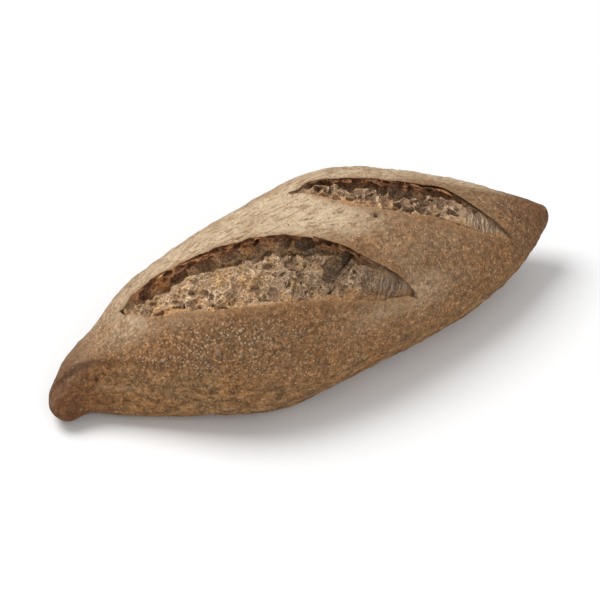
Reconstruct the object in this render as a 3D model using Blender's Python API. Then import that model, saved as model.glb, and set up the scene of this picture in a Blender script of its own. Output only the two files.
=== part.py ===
"""Whole wheat roll: a hand shaped, pointed roll with two slanting cuts that opened as it baked.

The roll lies along X on a flat foot, its folded end at -X and its pointed end at +X. The origin is
in the middle of the foot. Sizes are in metres. The skin is a ring of points at each place along the
roll. Places run from -1 at the folded end to 1 at the pointed end, and angles around the roll from
-90 degrees under it, over 0 at the front and 90 on top, to 270.
"""

import bpy
import numpy as np

# Driving sizes of the whole roll.
LENGTH = 0.160
WIDTH = 0.064
HEIGHT = 0.0466

# Shares of the driving sizes, and sizes, at places along the roll.
HALF_WIDTH_SHARES = [
    (-1.0, 0.19), (-0.9, 0.225), (-0.8, 0.353), (-0.65, 0.58), (-0.4, 0.862), (-0.125, 0.98),
    (0.15, 0.99), (0.425, 0.866), (0.675, 0.590), (0.85, 0.325), (0.94, 0.175), (1.0, 0.070),
]
TALL_SHARES = [
    (-1.0, 0.22), (-0.9, 0.33), (-0.8, 0.48), (-0.65, 0.70), (-0.4, 0.915), (-0.125, 0.985),
    (0.15, 1.0), (0.425, 0.88), (0.675, 0.67), (0.85, 0.415), (0.94, 0.21), (1.0, 0.09),
]
SWAY = [
    (-1.0, 0.0011), (-0.9, 0.0040), (-0.8, 0.0030), (-0.65, 0.0), (-0.4, -0.0033),
    (-0.125, -0.0021), (0.15, 0.0008), (0.425, 0.0012), (0.675, -0.0016), (0.85, -0.0036),
    (0.94, -0.0042), (1.0, -0.0046),
]
LIFT = [
    (-1.0, 0.0018), (-0.95, 0.0004), (-0.87, 0.0012), (-0.77, -0.0004), (-0.625, -0.0012),
    (0.375, -0.0012), (0.575, -0.0002), (0.725, 0.0024), (0.85, 0.0062), (0.94, 0.0113), (1.0, 0.0148),
]
WAIST_SHARE = 0.42
SIDE_FULLNESS = 2.2
FOOT_FULLNESS = 2.8
FOLDED_END_ROUND = 0.009
POINTED_END_ROUND = 0.0015
FOLDED_END_BLUNTNESS = 2.6
POINTED_END_BLUNTNESS = 2.6

# The two cuts, each as the rims of its opening seen from above: (x, y) from end to end.
FRONT_CUT = {
    "near": [(-0.0557, 0.0035), (-0.0530, -0.0025), (-0.0430, -0.0125), (-0.0290, -0.0211),
             (-0.0130, -0.0254), (0.0040, -0.0286), (0.0200, -0.0284)],
    "far": [(-0.0557, 0.0037), (-0.0465, 0.0039), (-0.0310, 0.0003), (-0.0150, -0.0045),
            (-0.0030, -0.0118), (0.0070, -0.0203), (0.0200, -0.0282)],
    "depth": [(-0.0557, 0.0030), (-0.0450, 0.0072), (-0.0280, 0.0080), (-0.0080, 0.0076),
              (0.0040, 0.0036), (0.0120, 0.0014), (0.0200, 0.0006)],
    "ear": 0.0016,
    "seed": 3,
}
BACK_CUT = {
    "near": [(0.0022, 0.0105), (0.0088, 0.0008), (0.0210, -0.0085), (0.0350, -0.0127),
             (0.0470, -0.0165), (0.0598, -0.0168)],
    "far": [(0.0022, 0.0109), (0.0068, 0.0104), (0.0200, 0.0066), (0.0350, -0.0003),
            (0.0440, -0.0038), (0.0530, -0.0120), (0.0598, -0.0165)],
    "depth": [(0.0022, 0.0016), (0.0130, 0.0048), (0.0230, 0.0070), (0.0360, 0.0064),
              (0.0450, 0.0030), (0.0540, 0.0012), (0.0598, 0.0006)],
    "ear": 0.0012,
    "seed": 8,
}
# How the rows of points run on past each cut's two ends, as (place, angle).
FRONT_CUT_LEAD = [(-1.0, 174.0), (-0.945, 150.0), (-0.87, 126.0), (-0.79, 109.0)]
FRONT_CUT_TAIL = [(0.4, 4.0), (0.7, -7.0), (1.0, -20.0)]
BACK_CUT_LEAD = [(-1.0, 208.0), (-0.945, 184.0), (-0.87, 170.0), (-0.7, 158.0), (-0.4, 136.0),
                 (-0.15, 119.0)]
BACK_CUT_TAIL = [(0.87, 22.0), (1.0, 40.0)]
NARROWEST_BAND = 0.0015

# The opening's floor, from the near rim under the far rim, as (share across, share of the depth).
FLOOR_LINE = [(0.0, 0.0), (0.03, 0.15), (0.14, 0.20), (0.36, 0.21), (0.60, 0.27), (0.80, 0.47),
              (0.95, 0.88), (1.05, 0.94), (1.12, 0.70), (1.08, 0.42), (1.01, 0.30), (1.0, 0.0)]
DEEPEST_OPENING = 0.0080
DEPTH_PER_WIDTH = 0.62
EAR_REACH = 0.006
NEAR_RIM_SWELL = 0.0006
NEAR_RIM_REACH = 0.003

# The fold that wraps the end and runs down the front, as (place, angle) and (place, depth).
FOLD_LINE = [(-1.0, 146.0), (-0.945, 103.0), (-0.90, 83.0), (-0.80, 57.0), (-0.67, 34.0),
             (-0.46, 15.0), (-0.34, 2.0), (-0.22, -8.0), (0.1, -34.0), (1.0, -62.0)]
FOLD_DEPTH = [(-1.0, 0.0), (-0.96, 0.0009), (-0.90, 0.0015), (-0.76, 0.0010), (-0.60, 0.0004),
              (-0.40, 0.0001), (-0.20, 0.0), (1.0, 0.0)]
FOLD_REACH = 0.006
FOLD_LIP = 0.35
FOLD_STEP = 0.0009

# Unevenness of the skin and holes of the crumb.
LUMP_SIZE = 0.022
LUMP_HEIGHT = 0.0011
DIMPLE_SIZE = 0.008
DIMPLE_HEIGHT = 0.0003
HOLE_SIZES = ((0.0066, 0.0022), (0.0034, 0.0008))
HOLES_END = 0.62

COLUMNS = 230
BAND_ROWS = (16, 14, 38, 14, 34, 26)
KEPT_SHARE = 0.17
CUTTER_MARGIN = 0.02

CRUST_COLOUR = (0.34, 0.20, 0.105, 1.0)
CRUST_ROUGHNESS = 0.75


def smooth_line(stations, place):
    """Values on a smooth cubic line through (place, value) stations."""
    knots = np.array([station[0] for station in stations])
    values = np.array([station[1] for station in stations])
    slopes = np.gradient(values, knots)
    place = np.clip(place, knots[0], knots[-1])
    left = np.clip(np.searchsorted(knots, place, side="right") - 1, 0, len(knots) - 2)
    step = knots[left + 1] - knots[left]
    t = (place - knots[left]) / step
    return (
        (1 + 2 * t) * (1 - t) ** 2 * values[left]
        + t * (1 - t) ** 2 * step * slopes[left]
        + t * t * (3 - 2 * t) * values[left + 1]
        + t * t * (t - 1) * step * slopes[left + 1]
    )


def hashed(cell, seed):
    """A number from 0 to 1 for each whole number cell (x, y, z), the same each time."""
    x, y, z = (cell[..., k].astype(np.int64) for k in range(3))
    mixed = x * 73856093 ^ y * 19349663 ^ z * 83492791 ^ seed * 2654435761
    mixed = (mixed ^ (mixed >> 13)) * 1274126177 & 0x7FFFFFFF
    mixed = (mixed ^ (mixed >> 16)) * 668265263 & 0x7FFFFFFF
    return (mixed >> 7 & 0xFFFF) / 65536.0


def soft_noise(points, size, seed):
    """Smooth unevenness from -1 to 1 whose bumps are about size across."""
    scaled = points / size
    cell = np.floor(scaled)
    part = scaled - cell
    part = part * part * (3 - 2 * part)
    total = np.zeros(points.shape[:-1])
    for corner in np.ndindex(2, 2, 2):
        corner = np.array(corner)
        weight = np.prod(np.where(corner == 1, part, 1 - part), axis=-1)
        total += weight * hashed(cell + corner, seed)
    return total * 2 - 1


def hole_noise(points, size, seed):
    """0 on the walls between round holes about size across, rising to 1 in their middles."""
    scaled = points / size
    cell = np.floor(scaled)
    nearest = np.full(points.shape[:-1], 9.0)
    second = np.full(points.shape[:-1], 9.0)
    for offset in np.ndindex(3, 3, 3):
        corner = cell + np.array(offset) - 1
        centre = corner + np.stack([hashed(corner, seed + k) for k in range(3)], axis=-1)
        distance = np.linalg.norm(scaled - centre, axis=-1)
        second = np.minimum(second, np.maximum(nearest, distance))
        nearest = np.minimum(nearest, distance)
    return np.clip((second - nearest) * 1.6, 0, 1)


def end_rounding(place):
    """The share of its full section that the roll has this near its ends."""
    x = place * LENGTH / 2
    folded = np.clip((FOLDED_END_ROUND - LENGTH / 2 - x) / FOLDED_END_ROUND, 0, 1)
    pointed = np.clip((x + POINTED_END_ROUND - LENGTH / 2) / POINTED_END_ROUND, 0, 1)
    return np.sqrt((1 - folded**FOLDED_END_BLUNTNESS) * (1 - pointed**POINTED_END_BLUNTNESS))


def plain_skin(place, angle):
    """Points of the roll's skin before any relief, at places and angles of like shape."""
    rounding = end_rounding(place)
    half_width = smooth_line(HALF_WIDTH_SHARES, place) * WIDTH / 2 * rounding
    tall = smooth_line(TALL_SHARES, place) * HEIGHT
    waist = smooth_line(LIFT, place) + WAIST_SHARE * tall
    turn = np.radians(angle)
    across = np.sign(np.cos(turn)) * np.abs(np.cos(turn)) ** (2 / SIDE_FULLNESS)
    top = (1 - WAIST_SHARE) * tall * np.abs(np.sin(turn))
    bottom = -WAIST_SHARE * tall * np.abs(np.sin(turn)) ** (2 / FOOT_FULLNESS)
    x = place * LENGTH / 2 + np.zeros_like(half_width * across)
    y = smooth_line(SWAY, place) - half_width * across
    z = waist + rounding * np.where(np.sin(turn) > 0, top, bottom)
    return np.stack([x, y + 0 * z, z], axis=-1)


def angle_of(place, y):
    """The angle at which the top of the skin lies over y."""
    half_width = smooth_line(HALF_WIDTH_SHARES, place) * WIDTH / 2 * end_rounding(place)
    across = np.clip((smooth_line(SWAY, place) - y) / half_width, -0.98, 0.98)
    return np.degrees(np.arccos(np.sign(across) * np.abs(across) ** (SIDE_FULLNESS / 2)))


def rim_angles(cut, place, lead, tail):
    """The angles of a cut's near and far rims, drawn on past its ends as one line."""
    x = place * LENGTH / 2
    start, end = cut["near"][0][0], cut["near"][-1][0]
    middle = [(cut["near"][k][1] + cut["far"][k][1]) / 2 for k in (0, -1)]
    at_start = (2 * start / LENGTH, float(angle_of(2 * start / LENGTH, middle[0])))
    at_end = (2 * end / LENGTH, float(angle_of(2 * end / LENGTH, middle[1])))
    angles = []
    for rim in ("near", "far"):
        open_part = angle_of(place, smooth_line(cut[rim], x))
        before = smooth_line([*lead, at_start], place)
        after = smooth_line([at_end, *tail], place)
        angles.append(np.where(x < start, before, np.where(x > end, after, open_part)))
    return angles


def at_least_apart(near, far, place):
    """The same two lines, moved apart where the band between them is too narrow for its rows."""
    half_width = np.maximum(smooth_line(HALF_WIDTH_SHARES, place) * WIDTH / 2, 0.004)
    least = np.degrees(NARROWEST_BAND / half_width)
    middle, half = (near + far) / 2, np.maximum((far - near) / 2, least)
    return middle - half, middle + half


def even_places(count):
    """Places along the roll, evenly far apart on the line that runs over its top."""
    fine = -np.cos(np.linspace(0, np.pi, 4001))
    line = plain_skin(fine, np.full_like(fine, 90.0))
    travelled = np.concatenate([[0], np.cumsum(np.linalg.norm(np.diff(line, axis=0), axis=1))])
    return np.interp(np.linspace(0, travelled[-1], count + 1), travelled, fine)


def even_angles(place, lines):
    """Angles of each column's rows: each band between two lines has its rows evenly far apart."""
    fine = np.linspace(-90, 270, 721)
    rows = np.empty((len(place), sum(BAND_ROWS)))
    for i, ring in enumerate(plain_skin(place[:, None], fine[None, :])):
        travelled = np.concatenate([[0], np.cumsum(np.linalg.norm(np.diff(ring, axis=0), axis=1))])
        marks = np.interp(lines[i], fine, travelled)
        wanted = [
            np.linspace(marks[k], marks[k + 1], count, endpoint=False)
            for k, count in enumerate(BAND_ROWS)
        ]
        rows[i] = np.interp(np.concatenate(wanted), travelled, fine)
    return rows


def grid_normals(points):
    """Outward unit normals of a grid of rings, from the differences between neighbours."""
    along = np.gradient(points, axis=0)
    around = np.roll(points, -1, axis=1) - np.roll(points, 1, axis=1)
    normals = np.cross(along, around)
    return normals / np.maximum(np.linalg.norm(normals, axis=-1, keepdims=True), 1e-12)


def fold_relief(place, angle):
    """How far the fold lifts or sinks the skin: a lip above its line and a step down below it."""
    half_width = smooth_line(HALF_WIDTH_SHARES, place) * WIDTH / 2
    below = np.radians(smooth_line(FOLD_LINE, place) - angle) * half_width
    depth = smooth_line(FOLD_DEPTH, place)
    sunk = np.clip(below / FOLD_STEP + 0.5, 0, 1)
    return depth * (FOLD_LIP - sunk * (1 + FOLD_LIP)) * np.exp(-np.abs(below) / FOLD_REACH)


def rim_relief(cut, place, angle, near, far):
    """How far the skin beside a cut rises towards its rims, most at the lifted far rim."""
    half_width = smooth_line(HALF_WIDTH_SHARES, place) * WIDTH / 2
    opened = np.clip(np.radians(far - near) * half_width / 0.008, 0, 1)
    past_far = np.radians(np.maximum(angle - far, 0)) * half_width
    before_near = np.radians(np.maximum(near - angle, 0)) * half_width
    ear = cut["ear"] * np.exp(-past_far / EAR_REACH) * (angle > (near + far) / 2)
    swell = NEAR_RIM_SWELL * np.exp(-before_near / NEAR_RIM_REACH) * (angle <= (near + far) / 2)
    return opened * (ear + swell)


def relief_skin(place, angle, rims):
    """The skin with its lumps, the fold and the risen rims of both cuts."""
    points = plain_skin(place, angle)
    step = 0.25
    along = plain_skin(np.minimum(place + 0.002, 0.9999), angle)
    along -= plain_skin(np.maximum(place - 0.002, -0.9999), angle)
    around = plain_skin(place, angle + step) - plain_skin(place, angle - step)
    normals = np.cross(along, around)
    normals /= np.maximum(np.linalg.norm(normals, axis=-1, keepdims=True), 1e-12)
    height = LUMP_HEIGHT * soft_noise(points, LUMP_SIZE, 1)
    height += DIMPLE_HEIGHT * soft_noise(points, DIMPLE_SIZE, 2)
    height += fold_relief(place, angle)
    for cut, (near, far) in rims:
        height += rim_relief(cut, place, angle, near, far)
    return points + normals * (height * end_rounding(place))[..., None]


def floor_share(share):
    """Where the opening's floor lies for a share of the way along it: (across, deep)."""
    line = np.array(FLOOR_LINE)
    travelled = np.concatenate([[0], np.cumsum(np.hypot(*np.diff(line, axis=0).T))])
    ways = travelled / travelled[-1]
    across = smooth_line(list(zip(ways, line[:, 0])), share)
    deep = smooth_line(list(zip(ways, line[:, 1])), share)
    return across, deep


def sink_opening(points, cut, place, angle, near, far, rims):
    """Moves the points between a cut's rims down onto the opening's floor, which runs under the far rim."""
    near_rim = relief_skin(place, near, rims)
    far_rim = relief_skin(place, far, rims)
    chord = far_rim - near_rim
    width = np.linalg.norm(chord, axis=-1)
    outward = np.stack([0 * width, -chord[..., 2], chord[..., 1]], axis=-1)
    outward /= np.maximum(np.linalg.norm(outward, axis=-1, keepdims=True), 1e-12)
    depth = np.minimum(smooth_line(cut["depth"], place * LENGTH / 2), DEPTH_PER_WIDTH * width)
    share = np.clip((angle - near) / np.maximum(far - near, 1e-6), 0, 1)
    across, deep = floor_share(share)
    across -= np.maximum(across - 1, 0) * (1 - depth / DEEPEST_OPENING)
    floor = near_rim + chord * across[..., None] - outward * (depth * deep)[..., None]
    inside = (angle > near) & (angle < far) & (width > 1e-4)
    crumb = inside * np.clip(share * 8, 0, 1) * np.clip((HOLES_END - share) * 8, 0, 1)
    crumb = crumb * np.clip(depth / DEEPEST_OPENING, 0, 1)
    return np.where(inside[..., None], floor, points), crumb


def crumb_holes(points, seed):
    """How deep the holes of the crumb are at each point."""
    return sum(
        deep * hole_noise(points, size, seed + 10 * k) for k, (size, deep) in enumerate(HOLE_SIZES)
    )


def roll_grid():
    """The rings of points of the whole roll, and the two end points."""
    place = even_places(COLUMNS)[1:-1]
    front = rim_angles(FRONT_CUT, place, FRONT_CUT_LEAD, FRONT_CUT_TAIL)
    back = rim_angles(BACK_CUT, place, BACK_CUT_LEAD, BACK_CUT_TAIL)
    fold = smooth_line(FOLD_LINE, place)
    under = np.full_like(place, -90.0)
    over = np.full_like(place, 270.0)
    lines = np.stack(
        [under, fold, *at_least_apart(*front, place), *at_least_apart(*back, place), over], axis=1
    )
    angle = even_angles(place, lines)
    place = np.repeat(place[:, None], angle.shape[1], axis=1)
    cuts = [
        (cut, tuple(rim[:, None] + 0 * angle for rim in rims))
        for cut, rims in ((FRONT_CUT, front), (BACK_CUT, back))
    ]
    points = relief_skin(place, angle, cuts)
    relief = np.zeros(angle.shape)
    for cut, (near, far) in cuts:
        points, crumb = sink_opening(points, cut, place, angle, near, far, cuts)
        relief -= crumb * crumb_holes(points, cut["seed"])
    points += grid_normals(points) * relief[..., None]
    ends = [
        plain_skin(np.array(end), np.array(0.0)) for end in (-1.0, 1.0)
    ]
    return points, ends


def roll_mesh(points, ends):
    """A closed mesh of the rings, with a fan of faces to each end point."""
    columns, rows = points.shape[:2]
    first, last = columns * rows, columns * rows + 1
    index = np.arange(columns * rows).reshape(columns, rows)
    beside = np.roll(index, -1, axis=1)
    quads = np.stack([index[:-1], index[1:], beside[1:], beside[:-1]], axis=-1).reshape(-1, 4)
    faces = quads.tolist()
    faces += [(first, a, b) for a, b in zip(index[0].tolist(), beside[0].tolist())]
    faces += [(last, b, a) for a, b in zip(index[-1].tolist(), beside[-1].tolist())]
    mesh = bpy.data.meshes.new("roll")
    mesh.from_pydata(np.vstack([points.reshape(-1, 3), *ends]), [], faces)
    mesh.validate()
    mesh.shade_smooth()
    return mesh


def crust_material():
    """The browned crust."""
    material = bpy.data.materials.new("crust")
    material.use_nodes = True
    shader = material.node_tree.nodes["Principled BSDF"]
    shader.inputs["Base Color"].default_value = CRUST_COLOUR
    shader.inputs["Roughness"].default_value = CRUST_ROUGHNESS
    return material


def floor_cutter():
    """A block under the roll, which cuts its foot flat."""
    bpy.ops.mesh.primitive_cube_add(size=1.0, location=(0, 0, -CUTTER_MARGIN / 2))
    cutter = bpy.context.object
    cutter.name = "floor_cutter"
    cutter.scale = (LENGTH + CUTTER_MARGIN, WIDTH + CUTTER_MARGIN, CUTTER_MARGIN)
    cutter.hide_render = True
    cutter.display_type = "WIRE"
    return cutter


def build():
    """The roll as one solid."""
    for old in list(bpy.data.objects):
        bpy.data.objects.remove(old)
    roll = bpy.data.objects.new("roll", roll_mesh(*roll_grid()))
    bpy.context.collection.objects.link(roll)
    roll.data.materials.append(crust_material())
    thin = roll.modifiers.new("fewer_faces", "DECIMATE")
    thin.ratio = KEPT_SHARE
    foot = roll.modifiers.new("flat_foot", "BOOLEAN")
    foot.operation = "DIFFERENCE"
    foot.object = floor_cutter()


build()
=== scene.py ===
"""Looks of a whole wheat roll: the browned crust, the torn crumb in its two cuts, and the bran on it.

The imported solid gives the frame. Three kinds of pieces stand for it: one crust, the crumb of each
cut, and bran flakes. The roll lies along X on the floor, folded end at -X. Lengths are in metres.
Places along the roll run from -1 to 1, and angles around it from -90 degrees under it, over 0 at the
front and 90 on top, to 270.
"""

import logging
import math
from dataclasses import dataclass
from enum import Enum

import bpy
import numpy as np
from mathutils import Matrix


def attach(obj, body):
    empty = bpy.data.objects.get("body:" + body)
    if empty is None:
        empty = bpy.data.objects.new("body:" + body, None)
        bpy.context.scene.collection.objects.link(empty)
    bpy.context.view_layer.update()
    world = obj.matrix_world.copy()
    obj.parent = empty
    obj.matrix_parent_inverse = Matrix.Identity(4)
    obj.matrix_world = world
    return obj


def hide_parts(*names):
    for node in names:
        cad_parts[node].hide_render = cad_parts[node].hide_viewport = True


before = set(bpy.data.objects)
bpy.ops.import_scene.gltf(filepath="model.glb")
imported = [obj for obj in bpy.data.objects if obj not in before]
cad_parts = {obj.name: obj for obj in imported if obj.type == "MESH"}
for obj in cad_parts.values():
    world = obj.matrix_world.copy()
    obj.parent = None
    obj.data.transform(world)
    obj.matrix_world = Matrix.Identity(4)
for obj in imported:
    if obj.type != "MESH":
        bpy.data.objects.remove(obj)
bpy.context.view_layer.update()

LOG = logging.getLogger("roll")
Array = np.ndarray
Stations = tuple[tuple[float, float], ...]
Colour = tuple[float, float, float]
Socket = bpy.types.NodeSocket
Material = bpy.types.Material
BODY = "root"
NODE = "roll"
ALONG_ROLL = (0.3, 1.0, 1.0)


class Rim(Enum):
    """The two edges of an opened cut, as seen from the front."""

    NEAR = "near"
    FAR = "far"


# Numbers and shapes shared by all pieces


def smooth_line(stations: Stations, place: Array) -> Array:
    """Values on a cubic Hermite line through (place, value) stations.

    Args:
        stations: Places in rising order, each with its value.
        place: Where to read the line. Beyond its ends it keeps its end values.

    Returns:
        One value for each place.
    """
    knots = np.array([station[0] for station in stations])
    values = np.array([station[1] for station in stations])
    slopes = np.gradient(values, knots)
    place = np.clip(place, knots[0], knots[-1])
    left = np.clip(np.searchsorted(knots, place, side="right") - 1, 0, len(knots) - 2)
    step = knots[left + 1] - knots[left]
    t = (place - knots[left]) / step
    return (
        (1 + 2 * t) * (1 - t) ** 2 * values[left]
        + t * (1 - t) ** 2 * step * slopes[left]
        + t * t * (3 - 2 * t) * values[left + 1]
        + t * t * (t - 1) * step * slopes[left + 1]
    )


def eased(value: Array, low: float, high: float) -> Array:
    """0 below low and 1 above high, with a smooth rise between."""
    share = np.clip((value - low) / (high - low), 0, 1)
    return share * share * (3 - 2 * share)


def hashed(cell: Array, seed: int) -> Array:
    """A number from 0 to 1 for each whole number cell (x, y, z), the same each run.

    Args:
        cell: Whole numbers, (..., 3).
        seed: Picks one of many such patterns.

    Returns:
        One number for each cell.
    """
    x, y, z = (cell[..., k].astype(np.int64) for k in range(3))
    mixed = x * 73856093 ^ y * 19349663 ^ z * 83492791 ^ seed * 2654435761
    mixed = (mixed ^ (mixed >> 13)) * 1274126177 & 0x7FFFFFFF
    mixed = (mixed ^ (mixed >> 16)) * 668265263 & 0x7FFFFFFF
    return (mixed >> 7 & 0xFFFF) / 65536.0


def soft_noise(points: Array, size: float, seed: int) -> Array:
    """Smooth unevenness from -1 to 1: random values on a lattice, blended between its corners.

    Args:
        points: Places, (..., 3).
        size: The lattice's step, about the width of a bump.
        seed: Picks one of many such patterns.

    Returns:
        One value for each point.
    """
    scaled = points / size
    cell = np.floor(scaled)
    part = scaled - cell
    part = part * part * (3 - 2 * part)
    total = np.zeros(points.shape[:-1])
    for corner in np.ndindex(2, 2, 2):
        corner = np.array(corner)
        weight = np.prod(np.where(corner == 1, part, 1 - part), axis=-1)
        total += weight * hashed(cell + corner, seed)
    return total * 2 - 1


def unit(vectors: Array) -> Array:
    """The same directions, each of length 1."""
    return vectors / np.maximum(np.linalg.norm(vectors, axis=-1, keepdims=True), 1e-12)


def spot(place: Array, angle: Array, middle: tuple[float, float], wide: tuple[float, float]) -> Array:
    """A soft spot on the skin: 1 at its middle place and angle, and a bell curve away from it."""
    return np.exp(-(((place - middle[0]) / wide[0]) ** 2) - ((angle - middle[1]) / wide[1]) ** 2)


def lying(line: Array, axis: int) -> Array:
    """A line of numbers turned to lie along one axis of a grid.

    Args:
        line: The numbers.
        axis: The axis, from 0 to 2.

    Returns:
        The same numbers, as a grid of one line.
    """
    shape = [1, 1, 1]
    shape[axis] = -1
    return line.reshape(shape)


def read_between(grid: Array, where: Array, axis: int, smooth: bool = False) -> Array:
    """A grid read at fractional places along one axis, blended evenly or smoothly between its values.

    Args:
        grid: The values.
        where: The places to read, in grid steps.
        axis: The axis.
        smooth: Blends with an even start and end instead of straight.

    Returns:
        The values at those places, with the other axes as they were.
    """
    where = np.minimum(where, grid.shape[axis] - 1)
    low = where.astype(int)
    high = np.minimum(low + 1, grid.shape[axis] - 1)
    part = (where - low).astype(np.float32)
    if smooth:
        part = part * part * (3 - 2 * part)
    part = lying(part, axis)
    return np.take(grid, low, axis=axis) * (1 - part) + np.take(grid, high, axis=axis) * part


def travelled(line: Array) -> Array:
    """The length travelled along a line of points, from its first point to each."""
    steps = np.linalg.norm(np.diff(line, axis=0), axis=-1)
    return np.concatenate([[0.0], np.cumsum(steps)])


def put_piece(name: str, points: Array, faces: list[Array], masks: dict[str, Array],
              material: Material, most: int = 0) -> bpy.types.Object:
    """A smooth shaded mesh piece that rides on the roll and stands for its solid.

    Args:
        name: The piece's name.
        points: Its vertices, (n, 3).
        faces: Arrays of vertex numbers, one array for each number of corners.
        masks: Values from 0 to 1 for each vertex, which the finish reads by name.
        material: The piece's finish.
        most: A number of triangles to thin the piece to where it is smooth, or 0 to leave it.

    Returns:
        The new object.
    """
    mesh = bpy.data.meshes.new(name)
    corners = np.concatenate([group.reshape(-1) for group in faces])
    sizes = np.concatenate([np.full(len(group), group.shape[1]) for group in faces])
    mesh.vertices.add(len(points))
    mesh.vertices.foreach_set("co", points.astype(np.float32).reshape(-1))
    mesh.loops.add(len(corners))
    mesh.loops.foreach_set("vertex_index", corners.astype(np.int32))
    mesh.polygons.add(len(sizes))
    starts = np.concatenate([[0], np.cumsum(sizes)[:-1]])
    mesh.polygons.foreach_set("loop_start", starts.astype(np.int32))
    mesh.update(calc_edges=True)
    mesh.validate()
    mesh.shade_smooth()
    for mask, values in masks.items():
        layer = mesh.attributes.new(mask, "FLOAT", "POINT")
        layer.data.foreach_set("value", values.astype(np.float32).reshape(-1))
    mesh.materials.append(material)
    piece = bpy.data.objects.new(name, mesh)
    bpy.context.scene.collection.objects.link(piece)
    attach(piece, BODY)
    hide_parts(NODE)
    triangles = int((sizes - 2).sum())
    if 0 < most < triangles:
        piece.modifiers.new("thinned", "DECIMATE").ratio = most / triangles
    LOG.info("%s: %d triangles", name, min(triangles, most or triangles))
    return piece


@dataclass(frozen=True)
class Cut:
    """One slanting cut: the rims of its opening seen from above, and how deep it opened.

    Its near and far rims are stations of x and y, and its depth is one of x and depth. Past its two
    ends both rims run on as one line, lead and tail, of place and angle. The far rim rises by ear,
    and its glow reaches further where the place has passed glow_over.
    """

    name: str
    near: Stations
    far: Stations
    depth: Stations
    ear: float
    lead: Stations
    tail: Stations
    glow_over: tuple[float, float]
    seed: int


FRONT_CUT = Cut(
    name="front",
    near=((-0.0557, 0.0035), (-0.0530, -0.0025), (-0.0430, -0.0125), (-0.0290, -0.0211),
          (-0.0130, -0.0254), (0.0040, -0.0286), (0.0200, -0.0284)),
    far=((-0.0557, 0.0037), (-0.0465, 0.0039), (-0.0310, 0.0003), (-0.0150, -0.0045),
         (-0.0030, -0.0118), (0.0070, -0.0203), (0.0200, -0.0282)),
    depth=((-0.0557, 0.0030), (-0.0450, 0.0072), (-0.0280, 0.0080), (-0.0080, 0.0076),
           (0.0040, 0.0036), (0.0120, 0.0014), (0.0200, 0.0006)),
    ear=0.0016,
    lead=((-1.0, 174.0), (-0.945, 150.0), (-0.87, 126.0), (-0.79, 109.0)),
    tail=((0.4, 4.0), (0.7, -7.0), (1.0, -20.0)),
    glow_over=(-0.15, 0.05),
    seed=3,
)
BACK_CUT = Cut(
    name="back",
    near=((0.0022, 0.0105), (0.0088, 0.0008), (0.0210, -0.0085), (0.0350, -0.0127),
          (0.0470, -0.0165), (0.0598, -0.0168)),
    far=((0.0022, 0.0109), (0.0068, 0.0104), (0.0200, 0.0066), (0.0350, -0.0003),
         (0.0440, -0.0038), (0.0530, -0.0120), (0.0598, -0.0165)),
    depth=((0.0022, 0.0016), (0.0130, 0.0048), (0.0230, 0.0070), (0.0360, 0.0064),
           (0.0450, 0.0030), (0.0540, 0.0012), (0.0598, 0.0006)),
    ear=0.0012,
    lead=((-1.0, 208.0), (-0.945, 184.0), (-0.87, 170.0), (-0.7, 158.0), (-0.4, 136.0), (-0.15, 119.0)),
    tail=((0.87, 22.0), (1.0, 40.0)),
    glow_over=(0.35, 0.55),
    seed=8,
)


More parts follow.
